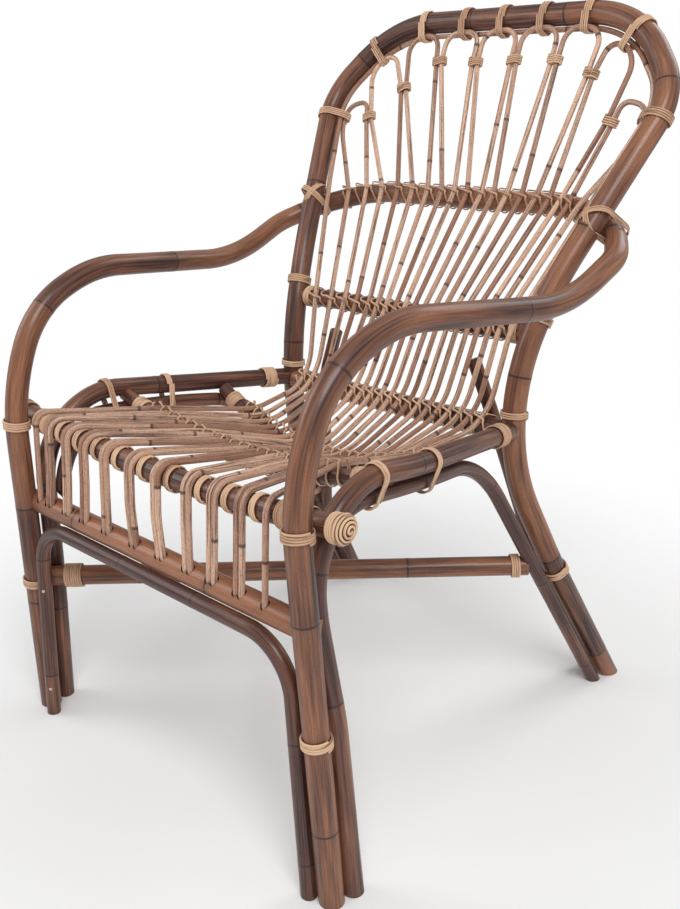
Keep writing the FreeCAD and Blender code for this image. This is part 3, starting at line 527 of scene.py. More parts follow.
    def between_uprights(self, rail):
        """A straight rail (depth, height) between the hoop's uprights."""
        half = point_at_height(self.hoop, rail[1]).x
        return straight(place(-half, *rail), place(half, *rail))

    def upper_rail_contact(self):
        """Where the strands' back plane touches the upper rail, its slope, and its height under the hoop."""
        s = self.sizes
        rail = place(0, ARM_CORNERS[-1][1], ARM_CORNERS[-1][2])
        top = place(0, HOOP_CORNERS[-1][1], HOOP_CORNERS[-1][2])
        off_top = (s["hoop"] + s["strand"]) / 2 + CLEARANCE
        off_rail = (s["arm"] + s["strand"]) / 2 + CLEARANCE
        lean = math.radians(TOP_LEAN)
        up = (top - rail).normalized()
        for _ in range(PLANE_ROUNDS):
            front = Vector((0, -up.z, up.y))
            apex = top - up * (off_top * math.cos(lean)) + front * (off_top * math.sin(lean))
            contact = rail + front * off_rail
            up = (apex - contact).normalized()
        return contact, up, apex.z

    def on_back(self, x, height):
        """A point of the strands' back plane."""
        rise = height - self.back_contact.z
        return Vector((x, self.back_contact.y + rise * self.back_up.y / self.back_up.z, height))

    def supports(self, spots):
        """What one strand passes over: (point of the bar's axis, its direction, its thickness, the bend)."""
        s = self.sizes
        front_bar_x, rear_bar_x, lower_x, middle_x, upper_x = spots[2:]
        front_height, front_way = on_bow(front_bar_x, FRONT_BAR_HEIGHT, FRONT_BAR_END_HEIGHT, BAR_END_HALF)
        rear_height, rear_way = on_bow(rear_bar_x, REAR_BAR_HEIGHT, REAR_BAR_END_HEIGHT, REAR_BAR_END_HALF)
        upper, upper_way = spot_on(self.arm, on_path(self.arm, upper_x))
        return [
            (place(front_bar_x, FRONT_BAR_DEPTH, front_height), front_way, s["cross_bar"], BEND_AT_FRONT_BAR),
            (place(rear_bar_x, REAR_BAR_DEPTH, rear_height), rear_way, s["cross_bar"], BEND_AT_REAR_BAR),
            (place(lower_x, *LOWER_RAIL), LEVEL, s["lower_rail"], BEND_AT_LOWER_RAIL),
            (place(middle_x, *MIDDLE_RAIL), LEVEL, s["middle_rail"], BEND_AT_MIDDLE_RAIL),
            (upper, -upper_way, s["arm"], BEND_AT_UPPER_RAIL),
        ]

    def passing(self, before, corner, after, support):
        """How a strand passes a bar: the point of its axis beside the bar, the way out, and the corner."""
        centre, direction, thickness, bend = support
        back = (before - corner).normalized()
        ahead = (after - corner).normalized()
        out = direction.cross(ahead - back).normalized()
        half_turn = (math.pi - back.angle(ahead)) / 2
        beside = centre + out * ((thickness + self.sizes["strand"]) / 2 + CLEARANCE)
        inside = back + ahead
        if half_turn > 1e-6:
            inside = inside.normalized() * (bend * (1 / math.cos(half_turn) - 1))
        return beside, out, beside - inside

    def strand_leg(self, number, count, after):
        """Corners and bends of one strand from the apron up past its supports."""
        s = self.sizes
        spots = leg_spots(number)
        supports = self.supports(spots)[:count]
        hole = place(spots[0], self.apron_depth + HOLE_SETBACK, APRON_HEIGHT + s["apron"] / 2 - HOLE_DEPTH)
        front_x = spots[1]
        swell = place(front_x, self.front_rail_depth - FRONT_SWELL, FRONT_SWELL_HEIGHT)
        over_rail = (s["front_rail"] + s["strand"]) / 2 + CLEARANCE
        rail_height, _ = on_bow(front_x, FRONT_RAIL_HEIGHT, self.front_rail_end, FRONT_RAIL_HALF)
        rail = place(front_x, self.front_rail_depth, rail_height)
        corners = [rail] + [support[0] + UP * FIRST_RISE for support in supports] + [after]
        for _ in range(ROUNDS):
            slope = (corners[1].z - rail.z - over_rail) / (corners[1].y - rail.y)
            corners[0] = rail + Vector((0, -over_rail, over_rail * (math.hypot(1, slope) - slope)))
            contacts = []
            for index, support in enumerate(supports, 1):
                beside, out, corners[index] = self.passing(*corners[index - 1:index + 2], support)
                contacts.append((support[0], beside, out))
        for noted, contact in zip(self.contacts, contacts):
            noted.append(contact)
        return [hole, swell] + corners[:-1], [FRONT_SWELL_BEND, over_rail] + [part[3] for part in supports]

    def fan_loop(self, number):
        """One strand: up from the apron, over its loop and down again."""
        x, drop, tilt, half = LOOP_TOPS[number]
        height = self.apex_height - drop
        left_tie = (-HOOP_SIDE_TIE[0], HOOP_SIDE_TIE[1])
        right_tie = HOOP_SIDE_TIE
        if number > 0:
            left_tie = (LOOP_TIES[number - 1][0] + TIE_PITCH / 2, LOOP_TIES[number - 1][1])
        if number < len(LOOP_TIES):
            right_tie = (LOOP_TIES[number][0] - TIE_PITCH / 2, LOOP_TIES[number][1])
        left_tie = self.on_back(*left_tie)
        right_tie = self.on_back(*right_tie)
        left, left_radii = self.strand_leg(2 * number + 1, LOOP_SUPPORTS, left_tie)
        right, right_radii = self.strand_leg(2 * number + 2, LOOP_SUPPORTS, right_tie)
        across = half * math.cos(math.radians(tilt))
        lift = half * math.sin(math.radians(tilt))
        top = [left_tie, self.on_back(x - across, height - lift), self.on_back(x + across, height + lift),
               right_tie]
        radii = left_radii + [TIE_BEND, LOOP_BEND, LOOP_BEND, TIE_BEND] + right_radii[::-1]
        return bent_path(left + top + right[::-1], radii, SHARE_OF_RUN)

    def border(self):
        """The outermost strand: along the inside of the hoop and down both sides."""
        inward = (self.sizes["hoop"] + self.sizes["strand"]) / 2 + CLEARANCE
        lean = math.radians(TOP_LEAN)
        behind = Vector((0, self.back_up.z, -self.back_up.y)) * (inward * math.sin(lean))
        depth_in = inward * math.cos(lean)
        waist, shoulder, top = (place(*corner[:3]) for corner in HOOP_CORNERS[2:])
        side_turn = math.tan(0.5 * (shoulder - waist).angle(top - shoulder))
        top_turn = math.tan(0.5 * (top - shoulder).angle(-LEVEL))
        top_in = top - self.back_up * depth_in - LEVEL * (depth_in * top_turn) + behind
        along = (shoulder - waist).normalized()
        inner = (along * along.dot(LEVEL) - LEVEL).normalized()
        shoulder_in = shoulder + inner * depth_in - along * (depth_in * side_turn) + behind
        side_in = waist + along * SIDE_TOUCH + inner * (depth_in + SIDE_EASE) + behind
        half = [side_in, shoulder_in, top_in]
        left, left_radii = self.strand_leg(0, BORDER_SUPPORTS, mirrored_point(side_in))
        right, right_radii = self.strand_leg(LEGS - 1, BORDER_SUPPORTS, side_in)
        points = left + mirrored(half) + half[::-1] + right[::-1]
        bends = [SIDE_BEND, HOOP_CORNERS[3][3] - inward, HOOP_CORNERS[4][3] - inward]
        return bent_path(points, left_radii + bends + bends[::-1] + right_radii[::-1])

    def wrap(self, path, target, thickness, turns):
        """A close wrap round one pole, near a target point."""
        spot, along = spot_on(path, target)
        other = UP if abs(along.z) < STEEP else REARWARD
        circle = (Vector((0, 0)), thickness / 2 + self.half_cane)
        return winding(spot, other.cross(along).normalized(), along, [circle], turns, self.pitch)

    def wrap_group(self, path, target, members, turns, ease=0.0):
        """A wrap round a pole and the strands or poles beside it."""
        spot, along = spot_on(path, target)
        axis_x = None
        circles = []
        for member, thickness in members:
            beside = min(member, key=lambda p: abs((p - spot).dot(along)) * ALONG_WEIGHT + (p - spot).length)
            offset = beside - spot
            offset = offset - along * offset.dot(along)
            apart = offset.length > NEARLY_ON
            if axis_x is None and apart:
                axis_x = offset.normalized()
            circles.append((offset, thickness / 2 + self.half_cane + (ease if apart else 0.0)))
        axis_y = along.cross(axis_x)
        flat = [(Vector((offset.dot(axis_x), offset.dot(axis_y))), radius) for offset, radius in circles]
        middle = sum((point for point, _ in flat), Vector((0, 0))) / len(flat)
        flat.sort(key=lambda item: math.atan2(item[0].y - middle.y, item[0].x - middle.x))
        return winding(spot, axis_x, along, flat, turns, self.pitch)

    def crossed_wraps(self):
        """Two crossed wraps where the arm pole passes the hoop."""
        low, high = CROSSING_HEIGHTS
        behind = [p for p in self.arm[::CROSSING_STRIDE]
                  if p.x > CROSSING_BEYOND and low < p.z < high and p.y > CROSSING_BEHIND]
        beside = [p for p in self.hoop[::CROSSING_STRIDE] if p.x > 0 and low < p.z < high]
        _, on_hoop, on_arm = min(((a - b).length, b.to_tuple(), a.to_tuple()) for a in behind for b in beside)
        on_hoop, hoop_way = spot_on(self.hoop, Vector(on_hoop))
        on_arm, arm_way = spot_on(self.arm, Vector(on_arm))
        across = (on_arm - on_hoop).normalized()
        gap = (on_arm - on_hoop).length
        circles = [(Vector((0, 0)), self.sizes["hoop"] / 2 + self.half_cane),
                   (Vector((gap, 0)), self.sizes["arm"] / 2 + self.half_cane)]
        lines = []
        for sign in (1, -1):
            along = (hoop_way + arm_way * sign).normalized()
            along = (along - across * along.dot(across)).normalized()
            lines.append(winding(on_hoop, across, along, circles, CROSSING_TURNS, self.pitch, CROSSING_WIDE))
        return lines

    def domed_end(self, spot, along, radius):
        """Turns that close over the end of a rail."""
        side = UP.cross(along).normalized()
        line = []
        for index in range(DOME_TURNS * DOME_STEPS + 1):
            share = index / (DOME_TURNS * DOME_STEPS)
            lean = share * math.pi / 2
            ring = radius * math.cos(lean) + DOME_TIP
            angle = share * DOME_TURNS * 2 * math.pi
            out = side * math.cos(angle) + UP * math.sin(angle)
            line.append((spot + out * ring + along * (radius * DOME_DEPTH * math.sin(lean)),
                         (out * math.cos(lean) + along * math.sin(lean)).normalized()))
        return line

    def tie_line(self, path, contacts, bar_thick):
        """One cane that winds along a bar and crosses over each strand on it."""
        contacts = sorted(contacts, key=lambda contact: contact[0].x)
        strand = self.sizes["strand"]
        height = bar_thick / 2 + strand + CLEARANCE + self.half_cane
        circles = [(Vector((0, 0)), bar_thick / 2 + self.half_cane),
                   (Vector((TIE_HALF, height - TIE_EDGE)), TIE_EDGE),
                   (Vector((-TIE_HALF, height - TIE_EDGE)), TIE_EDGE)]
        nodes = belt(circles)
        right_top = max(range(len(nodes)), key=lambda i: (round(nodes[i][0].y, 6), nodes[i][0].x))
        left_top = max(range(len(nodes)), key=lambda i: (round(nodes[i][0].y, 6), -nodes[i][0].x))
        order = nodes[left_top:] + nodes[:right_top + 1]
        first, last = contacts[0], contacts[-1]
        beyond = LEVEL * END_TURN
        padded = [(first[0] - beyond, first[1] - beyond, first[2])] + contacts
        padded += [(last[0] + beyond, last[1] + beyond, last[2])]
        spots = []
        for index, (before, after) in enumerate(zip(padded, padded[1:])):
            share = 0.5
            if index == 0:
                share = 0.0
            if index == len(padded) - 2:
                share = 1.0
            spot, along = spot_on(path, before[0].lerp(after[0], share))
            if along.x < 0:
                along = -along
            out = before[2].lerp(after[2], share)
            up = (out - along * out.dot(along)).normalized()
            side = up.cross(along)
            for flat, heading in order:
                way = (side * heading.x + up * heading.y).normalized()
                spots.append((spot + side * flat.x + up * flat.y, way, side * heading.y - up * heading.x))
            if index < len(contacts):
                above = after[1] + after[2] * (strand / 2 + self.half_cane + CLEARANCE)
                spots.append((above, (along * TIE_ADVANCE - side * (2 * TIE_HALF)).normalized(), after[2]))
        return smooth_line(spots)


def leg_spots(number):
    """Places across the chair of one strand leg: at the apron, front rail, bars and back rails."""
    group = (number + 1) // 2
    side = 0.0
    if 0 < number < LEGS - 1:
        side = PAIR_PITCH / 2 if number % 2 == 0 else -PAIR_PITCH / 2
    off_middle = number - (LEGS - 1) / 2
    seat = off_middle * SEAT_PITCH
    upper = UPPER_PLACES[min(max(number, 1), LEGS - 2) - 1]
    return (APRON_PLACES[group] + side, FRONT_PLACES[group] + side, seat,
            off_middle * SEAT_PITCH_REAR_BAR, seat, MIDDLE_PLACES[number], upper)


def belt(circles):
    """Nodes (point, direction) of a belt round circles given anticlockwise, arcs in quarters."""
    normals = []
    for (a, radius_a), (b, radius_b) in zip(circles, circles[1:] + circles[:1]):
        if len(circles) == 1:
            normals.append(Vector((1, 0)))
            continue
        run = b - a
        ratio = (radius_a - radius_b) / run.length
        run.normalize()
        normals.append(run * ratio + Vector((run.y, -run.x)) * math.sqrt(1 - ratio * ratio))
    nodes = []
    for index, (centre, radius) in enumerate(circles):
        start = math.atan2(normals[index - 1].y, normals[index - 1].x)
        turn = (math.atan2(normals[index].y, normals[index].x) - start) % (2 * math.pi)
        if len(circles) == 1:
            turn = 2 * math.pi
        parts = max(1, math.ceil(turn / (math.pi / 2) - 1e-6))
        for step in range(parts + (len(circles) > 1)):
            angle = start + turn * step / parts
            out = Vector((math.cos(angle), math.sin(angle)))
            nodes.append((centre + out * radius, Vector((-out.y, out.x))))
    return nodes


def winding(origin, axis_x, along, circles, turns, pitch, wide=1.0):
    """The line of a cane wound round circles, centred on an origin."""
    axis_y = along.cross(axis_x) * wide
    nodes = belt(circles)
    lengths = [(b[0] - a[0]).length for a, b in zip(nodes, nodes[1:] + nodes[:1])]
    around = sum(lengths)
    climb = pitch / around
    travelled = -turns * around / 2
    spots = []
    rounds = [(*node, length) for node, length in zip(nodes, lengths)] * turns
    for flat, heading, length in rounds + [(*nodes[0], 0)]:
        point = origin + axis_x * flat.x + axis_y * flat.y + along * (travelled * climb)
        way = (axis_x * heading.x + axis_y * heading.y + along * climb).normalized()
        spots.append((point, way, axis_x * heading.y - axis_y * heading.x))
        travelled += length
    return smooth_line(spots)


def smooth_line(spots):
    """Points (place, way out) of smooth curves between spots (place, direction, way out)."""
    line = [(spots[0][0], spots[0][2])]
    for (a, leaving, out_a), (b, arriving, out_b) in zip(spots, spots[1:]):
        chord = (b - a).length
        if chord < 1e-6:
            continue
        pull = chord / math.cos(leaving.angle(arriving) / 4) ** 2
        count = max(2, round(chord / WOUND_STEP))
        for number in range(1, count + 1):
            t = number / count
            point = (a * (2 * t ** 3 - 3 * t ** 2 + 1) + leaving * (pull * (t ** 3 - 2 * t ** 2 + t))
                     + b * (3 * t ** 2 - 2 * t ** 3) + arriving * (pull * (t ** 3 - t ** 2)))
            line.append((point, out_a.lerp(out_b, t).normalized()))
    return line


@functools.lru_cache(maxsize=2)
def layout_for(values):
    return Layout(dict(values))


def layout(context):
    """The layout for the thicknesses that the panel shows, worked out once."""
    sizes = context.scene.armchair_sizes
    names = [name for name in ArmchairSizes.__annotations__ if not name.endswith("_sides")]
    return layout_for(tuple((name, round(getattr(sizes, name), 6)) for name in names))


# A stroke is what one sweep follows. Each row of it has a point, the radius there, the way out of the
# cane's flat side, the length so far, the distance from the nearest joint, and a tone
def grown_stroke(path, thickness, seed, step, joint_gap, swell, waver):
    """A stroke of whole cane, with joints at uneven places and a tone for each stretch between them."""
    chance = random.Random(seed)
    points = spaced(path, step)
    length = sum((b - a).length for a, b in zip(points, points[1:]))
    joints = [chance.uniform(0.1, 0.9) * joint_gap]
    while joints[-1] < length:
        joints.append(joints[-1] + joint_gap * chance.uniform(0.6, 1.4))
    tones = [chance.random() for _ in range(len(joints) + 1)]
    phases = [chance.uniform(0, 2 * math.pi) for _ in WAVES]
    rows = []
    out = (points[1] - points[0]).orthogonal().normalized()
    for index, point in enumerate(points):
        ahead = (points[min(index + 1, len(points) - 1)] - points[max(index - 1, 0)]).normalized()
        out = (out - ahead * out.dot(ahead)).normalized()
        at = length * index / (len(points) - 1)
        nearest = min(joints, key=lambda joint: abs(joint - at))
        offset = at - nearest
        ring = math.exp(-(offset / JOINT_WIDTH) ** 2)
        roll = sum(math.sin(at * rate + phase) for rate, phase in zip(WAVES, phases)) / len(WAVES)
        radius = thickness / 2 * (1 - swell - waver + swell * ring + waver * roll)
        stretch = sum(joint < at for joint in joints)
        rows.append((point, radius, out, at + seed, offset, tones[stretch]))
    return rows


def wound_stroke(line, thickness, seed):
    """A stroke of split cane along a winding, in one tone and with no joint."""
    chance = random.Random(seed)
    tone = chance.random()
    rows = []
    at = 0.0
    before = line[0][0]
    for point, out in line:
        at += (point - before).length
        before = point
        rows.append((point, thickness / 2, out, at + seed, NO_JOINT, tone))
    return rows


def on_both_sides(strokes):
    """Strokes and their mirror images, which get another stretch of grain and another tone."""
    made = list(strokes)
    for stroke in strokes:
        made.append([(mirrored_point(point), radius, mirrored_point(out), along + OTHER_GRAIN, joint,
                      (tone + OTHER_TONE) % 1) for point, radius, out, along, joint, tone in stroke])
    return made


class Nodes:
    """Adds nodes to a tree."""

    def __init__(self, tree):
        self.tree = tree

    def put(self, socket, item):
        """Links a socket or a shader value to a socket, or sets a constant on it."""
        if isinstance(item, Value):
            item = item.socket
        if isinstance(item, bpy.types.NodeSocket):
            self.tree.links.new(item, socket)
        elif item is not None:
            socket.default_value = (*item, 1.0) if socket.type == "RGBA" else item

    def node(self, kind, values=None, **settings):
        """A node of a type, its settings first, then the values or links of its sockets."""
        node = self.tree.nodes.new(kind)
        for name, value in settings.items():
            setattr(node, name, value)
        for key, value in (values or {}).items():
            self.put(node.inputs[key], value)
        return node

    def output(self, name, kind, values=None, **settings):
        """One output of a new node."""
        return self.node(kind, values, **settings).outputs[name]


class GeometryTree(Nodes):
    """A Geometry Nodes tree with named inputs."""

    def __init__(self, name):
        super().__init__(bpy.data.node_groups.new(name, "GeometryNodeTree"))

    def socket(self, name, kind, direction="INPUT", default=None):
        """The identifier of a new input or output of the whole tree."""
        made = self.tree.interface.new_socket(name=name, in_out=direction, socket_type=kind)
        if default is not None:
            made.default_value = default
        return made.identifier

    def carried(self, name, kind):
        """A named attribute of the geometry."""
        return self.output("Attribute", "GeometryNodeInputNamedAttribute", {"Name": name}, data_type=kind)

    def stored(self, geometry, name, vector):
        """Geometry with a vector kept on each of its points."""
        values = {"Geometry": geometry, "Name": name, "Value": vector}
        return self.output("Geometry", "GeometryNodeStoreNamedAttribute", values,
                           data_type="FLOAT_VECTOR", domain="POINT")

    def close(self, geometry, finish):
        """The tree's end: smooth faces, real geometry and the finish."""
        smooth = self.output("Geometry", "GeometryNodeSetShadeSmooth", {"Geometry": geometry})
        real = self.output("Geometry", "GeometryNodeRealizeInstances", {"Geometry": smooth})
        shown = self.output("Geometry", "GeometryNodeSetMaterial", {"Geometry": real, "Material": finish})
        self.node("NodeGroupOutput", {"Geometry": shown})


@functools.lru_cache(maxsize=1)
def sweep_tree():
    """Sweeps a round or pressed section along every line of a mesh, with its own coordinates kept."""
    made = GeometryTree("Cane sweep")
    made.socket("Geometry", "NodeSocketGeometry", "OUTPUT")
    made.socket("Lines", "NodeSocketGeometry")
    keys = {
        "sides": made.socket("Sides", "NodeSocketInt", default=24),
        "flat": made.socket("Thickness share", "NodeSocketFloat", default=1.0),
        "finish": made.socket("Finish", "NodeSocketMaterial"),
    }
    given = made.node("NodeGroupInput").outputs
    out = made.carried("out", "FLOAT_VECTOR")
    line = made.output("Curve", "GeometryNodeMeshToCurve", {"Mesh": given["Lines"]})
    line = made.output("Curve", "GeometryNodeSetCurveNormal", {"Curve": line, "Normal": out}, mode="FREE")
    circle = {"Resolution": given["Sides"], "Radius": 1.0}
    ring = made.output("Curve", "GeometryNodeCurvePrimitiveCircle", circle)
    ring = made.stored(ring, "round", made.output("Position", "GeometryNodeInputPosition"))
    shape = made.output("Vector", "ShaderNodeCombineXYZ", {"X": given["Thickness share"], "Y": 1.0, "Z": 1.0})
    ring = made.output("Geometry", "GeometryNodeTransform", {"Geometry": ring, "Scale": shape})
    tube = made.output("Mesh", "GeometryNodeCurveToMesh", {
        "Curve": line, "Profile Curve": ring, "Scale": made.carried("thick", "FLOAT"), "Fill Caps": True})
    rounded = made.node("ShaderNodeSeparateXYZ", {"Vector": made.carried("round", "FLOAT_VECTOR")}).outputs
    grain = made.output("Vector", "ShaderNodeCombineXYZ", {
        "X": rounded["X"], "Y": rounded["Y"], "Z": made.carried("along", "FLOAT")})
    made.close(made.stored(tube, "grain", grain), given["Finish"])
    return made.tree, keys


def linked(name, data):
    """A new object in the scene."""
    item = bpy.data.objects.new(name, data)
    bpy.context.scene.collection.objects.link(item)
    return item


def plain_mesh(source, name):
    """The evaluated mesh of an object as a plain one."""
    graph = bpy.context.evaluated_depsgraph_get()
    mesh = bpy.data.meshes.new_from_object(source.evaluated_get(graph), depsgraph=graph)
    mesh.name = name
    return mesh


def made_by(tree, inputs, name, guide_mesh):
    """The plain mesh object that a Geometry Nodes tree makes of a guide mesh."""
    guide = linked(name + "_guide", guide_mesh)
    modifier = guide.modifiers.new("Tree", "NODES")
    modifier.node_group = tree
    for key, value in inputs.items():
        modifier[key] = value
    mesh = plain_mesh(guide, name)
    bpy.data.objects.remove(guide)
    bpy.data.meshes.remove(guide_mesh)
    return linked(name, mesh)


def swept(name, strokes, finish, sides, flat=1.0):
    """One plain mesh object swept along strokes."""
    lines = bpy.data.meshes.new(name + "_lines")
    rows = [row for stroke in strokes for row in stroke]
    edges = []
    start = 0
    for stroke in strokes:
        edges += [(start + i, start + i + 1) for i in range(len(stroke) - 1)]
        start += len(stroke)
    lines.from_pydata([row[0] for row in rows], edges, [])
    for label, column in (("thick", 1), ("along", 3), ("joint", 4), ("tone", 5)):
        values = [row[column] for row in rows]
        lines.attributes.new(label, "FLOAT", "POINT").data.foreach_set("value", values)
    outs = [part for row in rows for part in row[2]]
    lines.attributes.new("out", "FLOAT_VECTOR", "POINT").data.foreach_set("vector", outs)
    tree, keys = sweep_tree()
    inputs = {keys["sides"]: sides, keys["flat"]: flat, keys["finish"]: finish}
    return made_by(tree, inputs, name, lines)


def sawn_at_floor(piece):
    """Feet are sawn flat on the floor."""
    bm = bmesh.new()
    bm.from_mesh(piece.data)
    geometry = bm.verts[:] + bm.edges[:] + bm.faces[:]
    cut = bmesh.ops.bisect_plane(bm, geom=geometry, plane_co=(0, 0, 0), plane_no=(0, 0, 1), clear_inner=True)
    edges = [part for part in cut["geom_cut"] if isinstance(part, bmesh.types.BMEdge)]
    if edges:
        bmesh.ops.edgeloop_fill(bm, edges=edges)
    bmesh.ops.recalc_face_normals(bm, faces=bm.faces[:])
    bm.to_mesh(piece.data)
    bm.free()


def settle(piece, node):
    """The piece stands for its node and rides on the chair's one body; its edges are sharp past an angle."""
    piece.data.set_sharp_from_angle(angle=math.radians(SHARP_ANGLE))
    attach(piece, BODY)
    if node:
        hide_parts(node)


def bind(name, strokes, finish, sides, flat=LASHING_FLAT, in_cad=True):
    """One piece of wound cane, which stands for the CAD node of its name if there is one."""
    piece = swept("binding_" + name, strokes, finish, sides, flat)
    settle(piece, name if in_cad else None)


def trimmed(path, hosts):
    """A path whose ends stop inside the poles that it butts on."""
    points = list(path)
    for _ in range(2):
        for host, thickness in hosts:
            near = [p for p in host if (p - points[-1]).length < BUTT_REACH]
            while near and min((p - points[-1]).length for p in near) < thickness * BUTT_SHARE:
                points.pop()
        points.reverse()
    return points


class Value:
    """A shader value whose operators add Math nodes."""

    def __init__(self, maker, socket):
        self.maker = maker
        self.socket = socket

    def math(self, operation, first, second=None):
        made = self.maker.output("Value", "ShaderNodeMath", {0: first, 1: second}, operation=operation)
        return Value(self.maker, made)

    def __add__(self, other):
        return self.math("ADD", self, other)

    __radd__ = __add__

    def __sub__(self, other):
        return self.math("SUBTRACT", self, other)

    def __rsub__(self, other):
        return self.math("SUBTRACT", other, self)

    def __mul__(self, other):
        return self.math("MULTIPLY", self, other)

    __rmul__ = __mul__

    def __abs__(self):
        return self.math("ABSOLUTE", self)

    def ramp(self, low, high):
        """0 below low and 1 above high, smooth between."""
        values = {"Value": self, "From Min": low, "From Max": high}
        made = self.maker.output("Result", "ShaderNodeMapRange", values, interpolation_type="SMOOTHSTEP")
        return Value(self.maker, made)


class Maker(Nodes):
    """Builds one material."""

    def __init__(self, name):
        self.material = bpy.data.materials.new(name)
        self.material.use_nodes = True
        super().__init__(self.material.node_tree)
        self.tree.nodes.clear()

    def carried(self, name):
        """A number that the mesh carries."""
        return Value(self, self.output("Fac", "ShaderNodeAttribute", attribute_name=name))

    def grain(self):
        """Coordinates round and along the cane."""
        return self.output("Vector", "ShaderNodeAttribute", attribute_name="grain")

    def spot(self):
        """Coordinates in metres."""
        return self.output("Object", "ShaderNodeTexCoord")

    def noise(self, vector, scales, detail=3.0, rough=0.55):
        """Noise on a vector with each of its parts scaled."""
        scaled = self.output("Vector", "ShaderNodeVectorMath", {0: vector, 1: scales}, operation="MULTIPLY")
        values = {"Vector": scaled, "Scale": 1.0, "Detail": detail, "Roughness": rough}
        return Value(self, self.output("Fac", "ShaderNodeTexNoise", values))

    def mix(self, share, first, second):
        """A colour between two colours."""
        values = {"Factor": share, "A": first, "B": second}
        return self.output("Result", "ShaderNodeMix", values, data_type="RGBA")

    def finish(self, colour, roughness, height, depth, coat=0.0, coat_rough=0.2, specular=0.5, white=None):
        """The material, with bumps up to a depth in metres, and plain white where white is 1."""
        bump = self.output("Normal", "ShaderNodeBump", {"Height": height, "Distance": depth, "Strength": 1.0})
        surface = self.output("BSDF", "ShaderNodeBsdfPrincipled", {
            "Base Color": colour, "Roughness": roughness, "Normal": bump, "Coat Weight": coat,
            "Coat Roughness": coat_rough, "Specular IOR Level": specular})
        if white is not None:
            glow = self.output("Emission", "ShaderNodeEmission", {"Color": WHITE, "Strength": 1.0})
            surface = self.output("Shader", "ShaderNodeMixShader", {0: white, 1: surface, 2: glow})
        self.tree.nodes.active = self.node("ShaderNodeOutputMaterial", {"Surface": surface})
        return self.material


def pole_material(name, finish, warmth):
    """Varnished rattan: dark purplish brown with warm stretches, fine streaks and ringed joints."""
    make = Maker(name)
    grain = make.grain()
    tone = make.carried("tone")
    joint = make.carried("joint")
    streak = make.noise(grain, (5.5, 5.5, 7.0), 5.0, 0.65)
    fine = make.noise(grain, (26.0, 26.0, 30.0))
    patch = make.noise(grain, (0.9, 0.9, 6.5), 2.5)
    speck = make.noise(grain, (14.0, 14.0, 420.0), 2.0)
    warm = (patch * 1.1 + tone * 0.28 + streak * 0.55 + warmth).ramp(0.7, 1.32)
    dark = make.mix(streak.ramp(0.3, 0.72), finish.pole_dark, finish.pole_mid)
    bright = make.mix(fine.ramp(0.3, 0.7), finish.pole_warm, finish.pole_amber)
    body = make.mix(warm, dark, bright)
    body = make.mix(speck.ramp(0.6, 0.74) * 0.55, body, finish.pole_dark)
    ring = 1 - abs(joint).ramp(0.0006, 0.0022)
    halo = (1 - abs(joint).ramp(0.002, 0.016)) * 0.5
    body = make.mix(halo * streak, body, finish.pole_mid)
    body = make.mix(ring * 0.85, body, finish.pole_ring)
    rough = 0.34 + fine * 0.22 + speck * 0.08
    height = streak * 0.6 + fine * 0.4 - ring * 1.1
    return make.finish(body, rough, height, 0.00018, coat=0.45, coat_rough=0.22, specular=0.25)


def strand_material(finish):
    """Peeled cane: tan, with long dark streaks, specks and dark joints."""
    make = Maker("Peeled cane")
    grain = make.grain()
    streak = make.noise(grain, (1.9, 1.9, 9.0), 4.0, 0.6)
    fine = make.noise(grain, (8.0, 8.0, 45.0), 4.0, 0.7)
    speck = make.noise(grain, (5.0, 5.0, 300.0), 2.0)
    light = (streak + make.carried("tone") * 0.8).ramp(0.5, 1.05)
    body = make.mix(light, finish.strand, finish.strand_pale)
    body = make.mix((streak * 0.8 + fine * 0.6).ramp(0.66, 0.84) * 0.9, body, finish.strand_dark)
    body = make.mix(speck.ramp(0.57, 0.68) * 0.8, body, finish.strand_dark)
    ring = 1 - abs(make.carried("joint")).ramp(0.0009, 0.0032)
    body = make.mix(ring * 0.85, body, finish.strand_ring)
    height = streak * 0.5 + fine * 0.5 + ring * 0.6
    return make.finish(body, 0.42 + fine * 0.25, height, 0.0003, coat=0.12, coat_rough=0.3)


def cane_material(finish):
    """Split cane: cream to tan, fibres along it, darker in places."""
    make = Maker("Split cane")
    grain = make.grain()
    fibre = make.noise(grain, (3.2, 3.2, 16.0), 4.0, 0.65)
    stain = make.noise(grain, (0.6, 0.6, 28.0))
    body = make.mix((fibre + make.carried("tone") * 0.25).ramp(0.35, 0.75), finish.cane_tan, finish.cane)
    body = make.mix(stain.ramp(0.54, 0.68) * 0.8, body, finish.cane_dark)
    return make.finish(body, 0.4 + fibre * 0.25, fibre, 0.0002, coat=0.08, coat_rough=0.3)


def hole_shade_material(finish):
    """Painted shade: the inside of a drilled hole coloured near black, as shade in the recess."""
    make = Maker("Drilled hole")
    rough = make.noise(make.spot(), (900.0, 900.0, 900.0))
    # Near black and the darkest varnish, mottled: painted shade for the hole's walls
    body = make.mix(rough.ramp(0.4, 0.7), (0.006, 0.003, 0.002), finish.pole_dark)
    return make.finish(body, 0.8, rough, 0.0003)


def nail_material():
    """Dull steel with a little tarnish."""
    make = Maker("Nail steel")
    rough = make.noise(make.spot(), (700.0, 700.0, 700.0))
    body = make.mix(rough, (0.42, 0.38, 0.36), (0.62, 0.56, 0.52))
    return make.finish(body, 0.3 + rough * 0.3, rough, 0.0001, specular=0.8)


def measure(label, owner, default):
    """A thickness in metres that the panel shows."""
    return FloatProperty(name=label, description="Thickness of the " + owner, default=default, unit="LENGTH")


def faces(label, owner, default, least):
    """A number of faces that the panel shows."""
    return IntProperty(name=label, description="Faces round a " + owner, default=default, min=least)


def shade(label, use, default):
    """A colour that the panel shows."""
    return FloatVectorProperty(name=label, description=use, default=default, subtype="COLOR")


